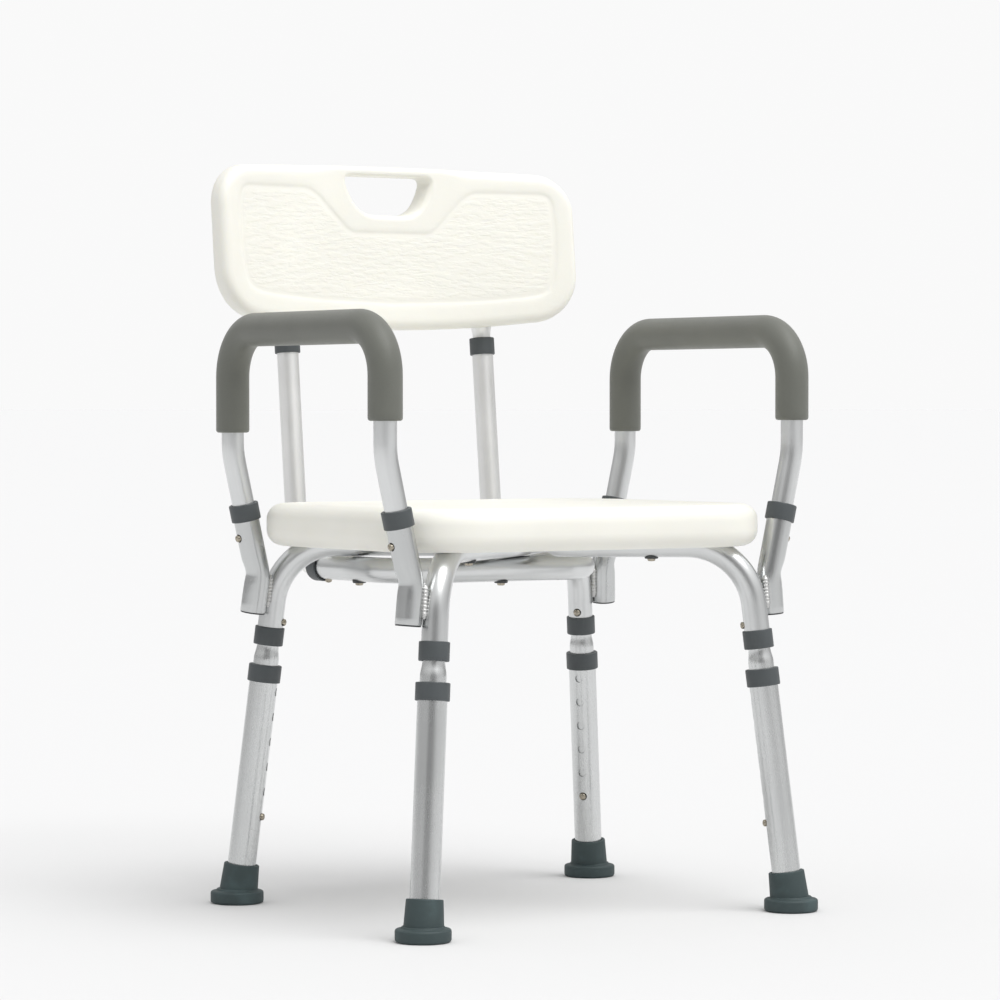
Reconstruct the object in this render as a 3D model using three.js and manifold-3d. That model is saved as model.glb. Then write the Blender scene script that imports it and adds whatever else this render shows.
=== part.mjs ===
// A knock-down shower chair: two crossed frame tubes under a moulded seat, four telescopic legs,
// two lift-out arms and a curved back on a slide-in bracket. Millimetres, +Z up.
// -Y is the front, where the sitter faces, so +X is the sitter's left.
import * as THREE from 'three';
import { mergeVertices } from 'three/addons/utils/BufferGeometryUtils.js';
import Module from 'manifold-3d';

// ---------------------------------------------------------------- driving dimensions

const CLEARANCE = 0.3;        // gap kept between pieces that touch or seat on one another
const TUBE_SIDES = 10;        // flats on a faceted tube
const MERGE = 1e-4;           // points closer than this are one point

// Stance: where each leg's centreline meets the floor, and how far it leans in per millimetre of height
const FOOT_X = 215;
const FOOT_Y = 178.4;
const SPLAY = 0.1223;

// Aluminium tubes
const FRAME_RADIUS = 12.7;
const FRAME_WALL = 1.4;
const LEG_RADIUS = 14.3;
const LEG_WALL = 1.4;
const INSERT_WALL = 1.4;
const INSERT_PLAY = 0.2;      // radial running gap of the insert in the leg tube
const ARM_RADIUS = 11.1;
const ARM_WALL = 1.4;
const SOCKET_RADIUS = 12.7;
const SOCKET_WALL = 1.3;
const POST_PLAY = 0.2;        // radial gap of a post in the bracket
const POST_WALL = 1.4;
const NECK_PLAY = 0.3;        // radial gap of a swaged neck in the tube that takes it

// Legs, heights measured along the leg's own centreline from the floor
const LEG_TUBE_FROM = 8.3;
const FRAME_END_BELOW = 98.75; // frame tube's end, below the height of its crossing
const LEG_GAP = 24;           // from the leg tube's top to the frame tube's end
const HOLE_FIRST = 89.6;
const HOLE_PITCH = 25.4;
const HOLE_COUNT = 6;
const INSERT_FROM = 70;
const LOWER_COLLAR_LENGTH = 17.4;
const LEG_COLLAR_WALL = 2.3;
const SHOULDER_BELOW = 15;    // start of the shoulder, below the frame tube's end
const SHOULDER_LENGTH = 10;
const SHOULDER_BEND = 0.7;    // share of the shoulder's length at which it is halfway in
const UPPER_COLLAR_LENGTH = 18.5;
const FRAME_COLLAR_WALL = 2.15;
const UPPER_BUTTON_ABOVE = 22.3; // upper button, above the frame tube's end
const NECK_LENGTH = 39;       // how far the insert's neck runs up inside the frame tube

// Rubber feet
const FOOT_FLANGE_REACH = 12.5; // from the leg tube's outside
const FOOT_FLANGE_HEIGHT = 13;
const FOOT_EDGE = 4;
const FOOT_CUP_LOW_WALL = 5.1;
const FOOT_CUP_TOP_WALL = 3.4;
const FOOT_CUP_TO = 40;

// Crossed frame tubes
const CROSS_Z = 363.75;
const CROSS_BEND = 67;
const CRUSH_HALF_LENGTH = 20; // half-length of the stretch where the tubes are pressed flat to pass
const CRUSH_FADE = 26;
const CRUSH_WIDEN = 1.25;
const CRUSH_GAP = 0.5;        // gap between the two tubes where they pass

// Seat
const SEAT_HALF_X = 218.4;
const SEAT_HALF_Y = 177.5;
const SEAT_CORNER = 90;
const SEAT_EDGE = 18;
const SEAT_BELOW = 1.35;      // seat's underside, below the centreline of the crossed tubes
const SEAT_THICKNESS = 42;
const SEAT_WALL = 3;
const SEAT_VENT_RADIUS = 4;

// Back bracket
const BRACKET_HALF_X = 119.5;
const BRACKET_FRONT_Y = 20;
const BRACKET_REAR_Y = 178;
const BRACKET_BEND = 45;
const BRACKET_BUTTON_Y = 158;
const BRACKET_COLLAR_LENGTH = 17;
const COLLAR_LIP = 2;         // how far a collar reaches past the tube end that it caps
const COLLAR_WALL = 2.1;

// Back posts: they lean back by RECLINE per millimetre of height
const RECLINE = 0.102;
const POST_Y_AT_SEAT = 225.5;
const POST_ABOVE_SEAT = 167.6;
const POST_BEND = 45;
const POST_ENGAGEMENT = 60;
const POST_COLLAR_LENGTH = 18;
const STUB_STEP = 0.25;       // how much thinner a stub is than the post that it stands on
const STUB_NECK_BELOW = 45;
const STUB_NECK_ABOVE = 7;
const STUB_SHOULDER = 5;
const STUB_IN_PANEL = 55;

// Back panel
const PANEL_HALF_X = 216;
const PANEL_HEIGHT = 171;
const PANEL_TOP_DROP = 5;     // how much lower the top edge is where its corners start
const PANEL_ABOVE_POST = 9;
const PANEL_BOTTOM_RISE = 16;
const PANEL_TOP_CORNER = 42;
const PANEL_BOTTOM_CORNER = 52;
const PANEL_THICKNESS = 32;
const PANEL_EDGE = 11;
const PANEL_SAGITTA = 30;     // how far the ends stand forward of the middle
const PANEL_Y = 247;          // middle of the thickness, at the middle of the width
const PANEL_Y_AT = 89;        // height above the panel's lower edge at which that holds
const PANEL_WALL = 3;
const PANEL_VENT_RADIUS = 4;
const PANEL_BOSS_ABOVE = 16;  // where the bosses behind the panel start, above the post tops
const PANEL_MARGIN = 60;      // how far a cutter stands out in front of the panel and behind it
const HANDLE_TOP_HALF = 56;
const HANDLE_BOTTOM_HALF = 36;
const HANDLE_BELOW_TOP = 10;
const HANDLE_HEIGHT = 41;
const HANDLE_CORNER = 11;

// Arms
const ARM_GAP_X = 0.3577;     // at the kink, between a socket and the leg beside it, seen from the front
const ARM_FRONT_BACK = 4.2717; // how far the front socket stands behind the leg's centreline at the kink
const ARM_REAR_FORWARD = 7.5717;
const ARM_ABOVE_SEAT = 172.5;
const ARM_TOP_BEND = 47;
const ARM_JOG_ABOVE = 50.6;   // height of the jog above the seat
const ARM_JOG_BEND = 90;
const ARM_LEAN = 0.23;        // how far the arm's lower ends and the sockets lean in per millimetre down
const ARM_END_BELOW = 17.75;  // arm's lower end, below the height of the crossing
const GRIP_WALL = 5.5;
const GRIP_FRONT_DROP = 89.4;
const GRIP_REAR_DROP = 101.9;
const SOCKET_ABOVE = 38.25;   // socket's top, kink and lower end from the height of the crossing
const SOCKET_KINK_BELOW = 31.75;
const SOCKET_KINK_BEND = 60;
const SOCKET_END_BELOW = 68.25;
const SOCKET_GAP_X = 0.1;     // between the socket's lower end and the leg, seen from the front
const SOCKET_OFFSET_FRONT_Y = 7.3;
const SOCKET_OFFSET_REAR_Y = -5.9;
const ARM_COLLAR_LENGTH = 17;
const ARM_BUTTON_ABOVE = 8.25;

// Snap buttons
const BUTTON_RADIUS = 3.5;
const BUTTON_HOLE_RADIUS = 3.9;
const BUTTON_FLANGE_RADIUS = 4.3;
const BUTTON_FLANGE_THICKNESS = 1.4;
const BUTTON_STANDS_OUT = 3.4;
const BUTTON_FLANGE_BELOW = 2; // flange top, below the inside of the tube that carries the button
const BUTTON_DOME = 2.1;      // height of the domed tip
const BUTTON_CROWN_RADIUS = 2.5;
const BUTTON_CROWN_DROP = 0.6; // from the tip down to the crown's edge
const HOLE_DEPTH = 10;        // how far a button hole's cutter reaches into its tube
const HOLE_PROUD = 3;         // and how far it stands outside it

// ---------------------------------------------------------------- derived values

const TILT = Math.atan(SPLAY);
const DIAGONAL = Math.atan2(FOOT_Y, FOOT_X);
const FOOT_SPREAD = Math.hypot(FOOT_X, FOOT_Y);
const INSERT_RADIUS = LEG_RADIUS - LEG_WALL - INSERT_PLAY;
const FRAME_BORE = FRAME_RADIUS - FRAME_WALL;
const NECK_RADIUS = FRAME_BORE - NECK_PLAY;
const FRAME_TUBE_END = CROSS_Z - FRAME_END_BELOW;
const LEG_TUBE_TO = FRAME_TUBE_END - LEG_GAP;
const SHOULDER_FROM = FRAME_TUBE_END - SHOULDER_BELOW;
const UPPER_BUTTON_AT = FRAME_TUBE_END + UPPER_BUTTON_ABOVE;
const NECK_TO = FRAME_TUBE_END + NECK_LENGTH;
const SOCKET_BORE = SOCKET_RADIUS - SOCKET_WALL;
const POST_RADIUS = FRAME_BORE - POST_PLAY;
const POST_BORE = POST_RADIUS - POST_WALL;
const STUB_RADIUS = POST_RADIUS - STUB_STEP;
const STUB_NECK_RADIUS = POST_BORE - NECK_PLAY;
const BRACKET_Z = CROSS_Z - 2 * FRAME_RADIUS - CLEARANCE;
const SEAT_BOTTOM_Z = CROSS_Z - SEAT_BELOW;
const SEAT_TOP_Z = SEAT_BOTTOM_Z + SEAT_THICKNESS;
const POST_TOP_Z = SEAT_TOP_Z + POST_ABOVE_SEAT;
const PANEL_BOTTOM_Z = POST_TOP_Z + PANEL_ABOVE_POST;
const PANEL_TOP_Z = PANEL_BOTTOM_Z + PANEL_HEIGHT;
const PANEL_Y_AT_Z = PANEL_BOTTOM_Z + PANEL_Y_AT;
const HANDLE_TOP_Z = PANEL_TOP_Z - HANDLE_BELOW_TOP;
const HANDLE_BOTTOM_Z = HANDLE_TOP_Z - HANDLE_HEIGHT;
const ARM_TOP_Z = SEAT_TOP_Z + ARM_ABOVE_SEAT;
const ARM_JOG_Z = SEAT_TOP_Z + ARM_JOG_ABOVE;
const ARM_END_Z = CROSS_Z - ARM_END_BELOW;
const GRIP_RADIUS = ARM_RADIUS + GRIP_WALL;
const GRIP_FRONT_Z = ARM_TOP_Z - GRIP_FRONT_DROP;
const GRIP_REAR_Z = ARM_TOP_Z - GRIP_REAR_DROP;
const SOCKET_TOP_Z = CROSS_Z + SOCKET_ABOVE;
const SOCKET_KINK_Z = CROSS_Z - SOCKET_KINK_BELOW;
const SOCKET_END_Z = CROSS_Z - SOCKET_END_BELOW;
const SOCKET_BESIDE = FRAME_RADIUS + SOCKET_RADIUS;
const ARM_BUTTON_Z = CROSS_Z + ARM_BUTTON_ABOVE;
const KINK_REACH = FOOT_SPREAD - SPLAY * SOCKET_KINK_Z;
const ARM_KINK_X = KINK_REACH * Math.cos(DIAGONAL) + SOCKET_BESIDE + ARM_GAP_X;
const ARM_X = ARM_KINK_X + ARM_LEAN * (ARM_JOG_Z - SOCKET_KINK_Z);
const ARM_FRONT_Y = ARM_FRONT_BACK - KINK_REACH * Math.sin(DIAGONAL);
const ARM_REAR_Y = KINK_REACH * Math.sin(DIAGONAL) - ARM_REAR_FORWARD;
const PANEL_ARC = (PANEL_HALF_X ** 2 + PANEL_SAGITTA ** 2) / (2 * PANEL_SAGITTA);

// The four corners: which side each is on, and the word used in its node names
const CORNERS = [
  { name: 'front_right', x: -1, y: -1 },
  { name: 'front_left', x: 1, y: -1 },
  { name: 'rear_right', x: -1, y: 1 },
  { name: 'rear_left', x: 1, y: 1 },
];
const SIDES = [{ name: 'right', x: -1 }, { name: 'left', x: 1 }];

// ---------------------------------------------------------------- finishes

const FINISHES = {
  aluminium: { color: 0xc9ccce, roughness: 0.34, metalness: 1 },
  cream: { color: 0xf1efe2, roughness: 0.42, metalness: 0 },
  collar: { color: 0x565c5e, roughness: 0.5, metalness: 0 },
  rubber: { color: 0x46504f, roughness: 0.75, metalness: 0 },
  foam: { color: 0x6f716b, roughness: 0.9, metalness: 0 },
  steel: { color: 0xb9b3a2, roughness: 0.25, metalness: 1 },
};

function named(name, geometry, finish) {
  const mesh = new THREE.Mesh(geometry, new THREE.MeshStandardMaterial(FINISHES[finish]));
  mesh.name = name;
  return mesh;
}

// ---------------------------------------------------------------- solids

const wasm = await Module();
wasm.setup();

function toSolid(geometry) {
  const bare = geometry.clone();
  bare.deleteAttribute('normal');
  bare.deleteAttribute('uv');
  const merged = mergeVertices(bare, MERGE);
  return new wasm.Manifold(new wasm.Mesh({
    numProp: 3,
    vertProperties: Float32Array.from(merged.attributes.position.array),
    triVerts: Uint32Array.from(merged.index.array),
  }));
}

function toGeometry(solid) {
  const { vertProperties, triVerts } = solid.getMesh();
  const geometry = new THREE.BufferGeometry();
  geometry.setAttribute('position', new THREE.BufferAttribute(vertProperties, 3));
  geometry.setIndex(new THREE.BufferAttribute(triVerts, 1));
  geometry.computeVertexNormals();
  return geometry;
}

function cut(geometry, ...cutters) {
  return toGeometry(cutters.reduce((solid, cutter) => solid.subtract(toSolid(cutter)), toSolid(geometry)));
}

function join(geometry, ...others) {
  return toGeometry(others.reduce((solid, other) => solid.add(toSolid(other)), toSolid(geometry)));
}

function common(geometry, other) {
  return toGeometry(toSolid(geometry).intersect(toSolid(other)));
}

// A centreline of straights and arcs. Stations stand only where the tube turns, and at any extra
// distances asked for along a straight between two corners.
class Route extends THREE.Curve {
  constructor(corners, bends, arcSteps = 6, extra = {}) {
    super();
    this.stations = [];
    const last = corners.length - 1;
    const along = (i) => corners[i + 1].clone().sub(corners[i]).normalize();
    this.stations.push({ point: corners[0].clone(), tangent: along(0) });
    for (let i = 1; i <= last; i += 1) {
      for (const distance of extra[i - 1] ?? []) {
        const point = corners[i - 1].clone().addScaledVector(along(i - 1), distance);
        this.stations.push({ point, tangent: along(i - 1) });
      }
      if (i < last) this.turn(corners[i], along(i - 1), along(i), bends[i - 1], arcSteps);
    }
    this.stations.push({ point: corners[last].clone(), tangent: along(last - 1) });
  }

  turn(corner, before, after, radius, steps) {
    const angle = before.angleTo(after);
    const reach = radius * Math.tan(angle / 2);
    const start = corner.clone().addScaledVector(before, -reach);
    const inward = after.clone().addScaledVector(before, -before.dot(after)).normalize();
    for (let k = 0; k <= steps; k += 1) {
      const turned = (angle * k) / steps;
      const point = start.clone().addScaledVector(before, radius * Math.sin(turned));
      point.addScaledVector(inward, radius * (1 - Math.cos(turned)));
      const tangent = before.clone().multiplyScalar(Math.cos(turned));
      tangent.addScaledVector(inward, Math.sin(turned));
      this.stations.push({ point, tangent });
    }
  }

  station(u) {
    return this.stations[Math.round(u * (this.stations.length - 1))];
  }

  getPoint(u, target = new THREE.Vector3()) {
    return target.copy(this.station(u).point);
  }

  getPointAt(u, target) {
    return this.getPoint(u, target);
  }

  getTangentAt(u, target = new THREE.Vector3()) {
    return target.copy(this.station(u).tangent);
  }
}

function ringPoints(radius) {
  const turn = (i) => (2 * Math.PI * i) / TUBE_SIDES;
  return Array.from({ length: TUBE_SIDES }, (_, i) => (
    new THREE.Vector2(radius * Math.cos(turn(i)), radius * Math.sin(turn(i)))
  ));
}

// A faceted bore is drawn round its true circle, and a faceted outside within it, so that
// round pieces that nest never touch, however their flats are turned.
const AROUND = 1 / Math.cos(Math.PI / TUBE_SIDES);

function sweep(route, radius) {
  const section = new THREE.Shape(ringPoints(radius));
  const steps = route.stations.length - 1;
  return new THREE.ExtrudeGeometry(section, { steps, extrudePath: route, bevelEnabled: false });
}

function tube(route, radius, bore) {
  const section = new THREE.Shape(ringPoints(radius));
  section.holes.push(new THREE.Path(ringPoints(bore * AROUND)));
  const steps = route.stations.length - 1;
  return new THREE.ExtrudeGeometry(section, { steps, extrudePath: route, bevelEnabled: false });
}

// A turned solid about Z from [radius, height] pairs. A ring-shaped profile closes on itself.
function turned(profile) {
  const points = profile.map(([radius, height]) => new THREE.Vector2(radius, height));
  return new THREE.LatheGeometry(points, TUBE_SIDES).rotateX(Math.PI / 2);
}

function rod(radius, from, to) {
  return turned([[0, from], [radius, from], [radius, to], [0, to]]);
}

function point(x, y, z) {
  return new THREE.Vector3(x, y, z);
}

// Turns a shape made about Z so that its axis runs along a direction from a given point
function aimed(geometry, from, direction) {
  const turn = new THREE.Quaternion().setFromUnitVectors(point(0, 0, 1), direction.clone().normalize());
  return geometry.applyQuaternion(turn).translate(from.x, from.y, from.z);
}

// ---------------------------------------------------------------- snap buttons

// The button is made about Z: a domed pin whose inner flange sits inside the carrying tube
function buttonShape(carrierBore, outerRadius) {
  const flangeTop = carrierBore - BUTTON_FLANGE_BELOW;
  const tip = outerRadius + BUTTON_STANDS_OUT;
  return turned([
    [0, flangeTop - BUTTON_FLANGE_THICKNESS],
    [BUTTON_FLANGE_RADIUS, flangeTop - BUTTON_FLANGE_THICKNESS],
    [BUTTON_FLANGE_RADIUS, flangeTop],
    [BUTTON_RADIUS, flangeTop],
    [BUTTON_RADIUS, tip - BUTTON_DOME],
    [BUTTON_CROWN_RADIUS, tip - BUTTON_CROWN_DROP],
    [0, tip],
  ]);
}

function buttonHole(outerRadius) {
  return rod(BUTTON_HOLE_RADIUS * AROUND, outerRadius - HOLE_DEPTH, outerRadius + HOLE_PROUD);
}

// ---------------------------------------------------------------- collars

// A moulded collar over a tube end. The tube end is at height 0 and the tube runs down from it.
function capCollar(radius, tubeRadius, passRadius, length) {
  const bore = (tubeRadius + CLEARANCE) * AROUND;
  const mouth = (passRadius + CLEARANCE) * AROUND;
  return turned([
    [bore, COLLAR_LIP - length],
    [radius, COLLAR_LIP - length],
    [radius, COLLAR_LIP],
    [mouth, COLLAR_LIP],
    [mouth, CLEARANCE],
    [bore, CLEARANCE],
    [bore, COLLAR_LIP - length],
  ]);
}

// ---------------------------------------------------------------- legs

const INWARD = point(-1, 0, 0);

function legTube() {
  const route = new Route([point(0, 0, LEG_TUBE_FROM), point(0, 0, LEG_TUBE_TO)], []);
  const holes = Array.from({ length: HOLE_COUNT }, (_, i) => (
    aimed(buttonHole(LEG_RADIUS), point(0, 0, HOLE_FIRST + i * HOLE_PITCH), INWARD)
  ));
  return cut(tube(route, LEG_RADIUS, LEG_RADIUS - LEG_WALL), ...holes);
}

function legInsert() {
  const bore = (INSERT_RADIUS - INSERT_WALL) * AROUND;
  const neckBore = (NECK_RADIUS - INSERT_WALL) * AROUND;
  const shoulderTo = SHOULDER_FROM + SHOULDER_LENGTH;
  const bend = (NECK_RADIUS + INSERT_RADIUS) / 2;
  const body = turned([
    [bore, INSERT_FROM],
    [INSERT_RADIUS, INSERT_FROM],
    [INSERT_RADIUS, SHOULDER_FROM],
    [bend, SHOULDER_FROM + SHOULDER_LENGTH * SHOULDER_BEND],
    [NECK_RADIUS, shoulderTo],
    [NECK_RADIUS, NECK_TO],
    [neckBore, NECK_TO],
    [neckBore, shoulderTo],
    [bore, SHOULDER_FROM],
    [bore, INSERT_FROM],
  ]);
  const lower = aimed(buttonHole(INSERT_RADIUS), point(0, 0, HOLE_FIRST), INWARD);
  const upper = aimed(buttonHole(NECK_RADIUS), point(0, 0, UPPER_BUTTON_AT), INWARD);
  return cut(body, lower, upper);
}

// The flange lies flat on the floor while the cup follows the leaning leg
function foot() {
  const rim = LEG_RADIUS + FOOT_FLANGE_REACH;
  const flange = turned([
    [0, 0],
    [rim, 0],
    [rim, FOOT_FLANGE_HEIGHT - FOOT_EDGE],
    [rim - FOOT_EDGE, FOOT_FLANGE_HEIGHT],
    [0, FOOT_FLANGE_HEIGHT],
  ]).rotateY(TILT);
  const cupFrom = FOOT_FLANGE_HEIGHT / 2;
  const cup = turned([
    [0, cupFrom],
    [LEG_RADIUS + FOOT_CUP_LOW_WALL, cupFrom],
    [LEG_RADIUS + FOOT_CUP_TOP_WALL, FOOT_CUP_TO],
    [0, FOOT_CUP_TO],
  ]);
  const pocket = rod((LEG_RADIUS + CLEARANCE) * AROUND, LEG_TUBE_FROM - CLEARANCE, FOOT_CUP_TO + CLEARANCE);
  return cut(join(flange, cup), pocket);
}

function leg(corner) {
  const group = new THREE.Group();
  group.rotation.order = 'ZYX';
  group.rotation.z = Math.atan2(corner.y * FOOT_Y, corner.x * FOOT_X);
  group.rotation.y = -TILT;
  group.position.set(corner.x * FOOT_X, corner.y * FOOT_Y, 0);
  const lowerCollar = capCollar(
    LEG_RADIUS + LEG_COLLAR_WALL, LEG_RADIUS, INSERT_RADIUS, LOWER_COLLAR_LENGTH,
  ).translate(0, 0, LEG_TUBE_TO);
  const upperCollar = capCollar(
    FRAME_RADIUS + FRAME_COLLAR_WALL, FRAME_RADIUS, NECK_RADIUS, UPPER_COLLAR_LENGTH,
  ).rotateX(Math.PI).translate(0, 0, FRAME_TUBE_END);
  const lowerButton = aimed(
    buttonShape(INSERT_RADIUS - INSERT_WALL, LEG_RADIUS), point(0, 0, HOLE_FIRST), INWARD,
  );
  const upperButton = aimed(
    buttonShape(NECK_RADIUS - INSERT_WALL, FRAME_RADIUS), point(0, 0, UPPER_BUTTON_AT), INWARD,
  );
  group.add(
    named(`leg_foot_${corner.name}`, foot(), 'rubber'),
    named(`leg_tube_${corner.name}`, legTube(), 'aluminium'),
    named(`leg_collar_lower_${corner.name}`, lowerCollar, 'collar'),
    named(`leg_insert_${corner.name}`, legInsert(), 'aluminium'),
    named(`leg_button_lower_${corner.name}`, lowerButton, 'steel'),
    named(`leg_collar_upper_${corner.name}`, upperCollar, 'collar'),
    named(`leg_button_upper_${corner.name}`, upperButton, 'steel'),
  );
  return group;
}

// ---------------------------------------------------------------- crossed frame tubes

// Distance of a leg's centreline from the chair's middle, at a height above the floor
function legReach(z) {
  return FOOT_SPREAD - SPLAY * z;
}

// The route in its own vertical plane: up one leg, across under the seat and down the other,
// with stations closer together where the tube is pressed flat
function crossRoute() {
  const endZ = FRAME_TUBE_END * Math.cos(TILT);
  const end = FOOT_SPREAD - FRAME_TUBE_END * Math.sin(TILT);
  const corner = legReach(CROSS_Z);
  const fade = [1, 0.75, 0.5, 0.25, 0].map((k) => CRUSH_HALF_LENGTH + k * CRUSH_FADE);
  const crossing = [...fade.map((x) => -x), ...fade.toReversed()];
  return new Route([
    point(-end, 0, endZ),
    point(-corner, 0, CROSS_Z),
    point(corner, 0, CROSS_Z),
    point(end, 0, endZ),
  ], [CROSS_BEND, CROSS_BEND], 7, { 1: crossing.map((x) => corner + x) });
}

// Both tubes pass at one height, so each is pressed flat there: one keeps to the upper half of
// the height and the other to the lower half, and each spreads a little wider.
function crushed(geometry, up) {
  const position = geometry.attributes.position;
  const flat = (FRAME_RADIUS - CRUSH_GAP / 2) / (2 * FRAME_RADIUS);
  const lift = up * (FRAME_RADIUS + CRUSH_GAP / 2) / 2;
  for (let i = 0; i < position.count; i += 1) {
    const beyond = (Math.abs(position.getX(i)) - CRUSH_HALF_LENGTH) / CRUSH_FADE;
    const share = 1 - THREE.MathUtils.smoothstep(beyond, 0, 1);
    const above = position.getZ(i) - CROSS_Z;
    position.setZ(i, CROSS_Z + above * (1 - share * (1 - flat)) + lift * share);
    position.setY(i, position.getY(i) * (1 + share * (CRUSH_WIDEN - 1)));
  }
  return geometry;
}

function crossTube(name, side, up) {
  const azimuth = Math.atan2(side * FOOT_Y, FOOT_X);
  const route = crossRoute();
  const body = crushed(tube(route, FRAME_RADIUS, FRAME_BORE), up);
  const holes = [-1, 1].map((end) => {
    const at = UPPER_BUTTON_AT;
    const from = point(end * (FOOT_SPREAD - at * Math.sin(TILT)), 0, at * Math.cos(TILT));
    return aimed(buttonHole(FRAME_RADIUS), from, point(-end * Math.cos(TILT), 0, -Math.sin(TILT)));
  });
  const mesh = named(name, cut(body, ...holes), 'aluminium');
  mesh.rotation.z = azimuth;
  return mesh;
}

// The space the frame tubes need in the underside of the seat: their own route with a clearance,
// and a round pocket over the place where they are pressed wide
function crossSpace(allowance) {
  const channels = [-1, 1].map((side) => (
    sweep(crossRoute(), (FRAME_RADIUS + allowance) * AROUND).rotateZ(Math.atan2(side * FOOT_Y, FOOT_X))
  ));
  const half = (CRUSH_HALF_LENGTH + CRUSH_FADE + allowance) * AROUND;
  const pocket = rod(half, SEAT_BOTTOM_Z - FRAME_RADIUS, CROSS_Z + FRAME_RADIUS + allowance);
  return join(channels[0], channels[1], pocket);
}

// ---------------------------------------------------------------- seat

function roundedRectangle(halfX, halfY, corner) {
  const shape = new THREE.Shape();
  const x = halfX - corner;
  const y = halfY - corner;
  shape.absarc(x, y, corner, 0, Math.PI / 2);
  shape.absarc(-x, y, corner, Math.PI / 2, Math.PI);
  shape.absarc(-x, -y, corner, Math.PI, 1.5 * Math.PI);
  shape.absarc(x, -y, corner, 1.5 * Math.PI, 2 * Math.PI);
  return shape;
}

// A plate with rounded edges whose outside is the seat's outside moved in by an inset
function seatPlate(inset, from, to) {
  const edge = Math.min(SEAT_EDGE - inset, (to - from) / 2 - CLEARANCE);
  const shape = roundedRectangle(
    SEAT_HALF_X - inset - edge, SEAT_HALF_Y - inset - edge, SEAT_CORNER - inset - edge,
  );
  const depth = to - from - 2 * edge;
  return new THREE.ExtrudeGeometry(shape, {
    depth, bevelThickness: edge, bevelSize: edge, bevelSegments: 3, curveSegments: 3,
  }).translate(0, 0, from + edge);
}

function seat() {
  const hollow = cut(
    seatPlate(SEAT_WALL, SEAT_BOTTOM_Z + SEAT_WALL, SEAT_TOP_Z - SEAT_WALL), crossSpace(CLEARANCE + SEAT_WALL),
  );
  const vent = rod(SEAT_VENT_RADIUS, SEAT_BOTTOM_Z - SEAT_WALL, SEAT_BOTTOM_Z + 2 * SEAT_WALL);
  vent.translate(0, SEAT_HALF_Y / 2, 0);
  return cut(seatPlate(0, SEAT_BOTTOM_Z, SEAT_TOP_Z), crossSpace(CLEARANCE), hollow, vent);
}

// ---------------------------------------------------------------- arms and their sockets

function armLineX(z) {
  return ARM_X - ARM_LEAN * (ARM_JOG_Z - z);
}

// A point of a socket's lower end, set off from the leg's centreline
function socketFoot(y, z) {
  const offsetY = y < 0 ? SOCKET_OFFSET_FRONT_Y : SOCKET_OFFSET_REAR_Y;
  const alongX = legReach(z) * Math.cos(DIAGONAL);
  const alongY = legReach(z) * Math.sin(DIAGONAL);
  return point(alongX + SOCKET_BESIDE + SOCKET_GAP_X, y * alongY + offsetY, z);
}

function armY(y) {
  return y < 0 ? ARM_FRONT_Y : ARM_REAR_Y;
}

// The arm assembly is drawn for the sitter's left and mirrored by its route for the right
function sided(side, at) {
  return point(side * at.x, at.y, at.z);
}

function socket(side, y) {
  const route = new Route([
    sided(side, socketFoot(y, SOCKET_END_Z)),
    sided(side, point(armLineX(SOCKET_KINK_Z), armY(y), SOCKET_KINK_Z)),
    sided(side, point(armLineX(SOCKET_TOP_Z), armY(y), SOCKET_TOP_Z)),
  ], [SOCKET_KINK_BEND], 3);
  return cut(tube(route, SOCKET_RADIUS, SOCKET_BORE), armButtonHole(side, y, SOCKET_RADIUS));
}

function armUp(side) {
  return point(side * ARM_LEAN, 0, 1).normalize();
}

function armButtonAt(side, y) {
  return sided(side, point(armLineX(ARM_BUTTON_Z), armY(y), ARM_BUTTON_Z));
}

function armButtonOut(side) {
  return point(side, 0, -ARM_LEAN);
}

function armButtonHole(side, y, radius) {
  return aimed(buttonHole(radius), armButtonAt(side, y), armButtonOut(side));
}

function armCorners(side, frontZ, rearZ) {
  const ends = (y, z) => {
    if (z > ARM_JOG_Z) return [point(ARM_X, y, z)];
    return [point(armLineX(z), y, z), point(ARM_X, y, ARM_JOG_Z)];
  };
  return [
    ...ends(ARM_FRONT_Y, frontZ),
    point(ARM_X, ARM_FRONT_Y, ARM_TOP_Z),
    point(ARM_X, ARM_REAR_Y, ARM_TOP_Z),
    ...ends(ARM_REAR_Y, rearZ).toReversed(),
  ].map((at) => sided(side, at));
}

function armTube(side) {
  const bends = [ARM_JOG_BEND, ARM_TOP_BEND, ARM_TOP_BEND, ARM_JOG_BEND];
  const route = new Route(armCorners(side, ARM_END_Z, ARM_END_Z), bends, 4);
  const holes = [-1, 1].map((y) => armButtonHole(side, y, ARM_RADIUS));
  return cut(tube(route, ARM_RADIUS, ARM_RADIUS - ARM_WALL), ...holes);
}

function armGrip(side) {
  const route = new Route(armCorners(side, GRIP_FRONT_Z, GRIP_REAR_Z), [ARM_TOP_BEND, ARM_TOP_BEND], 4);
  return tube(route, GRIP_RADIUS, ARM_RADIUS + CLEARANCE);
}

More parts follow.
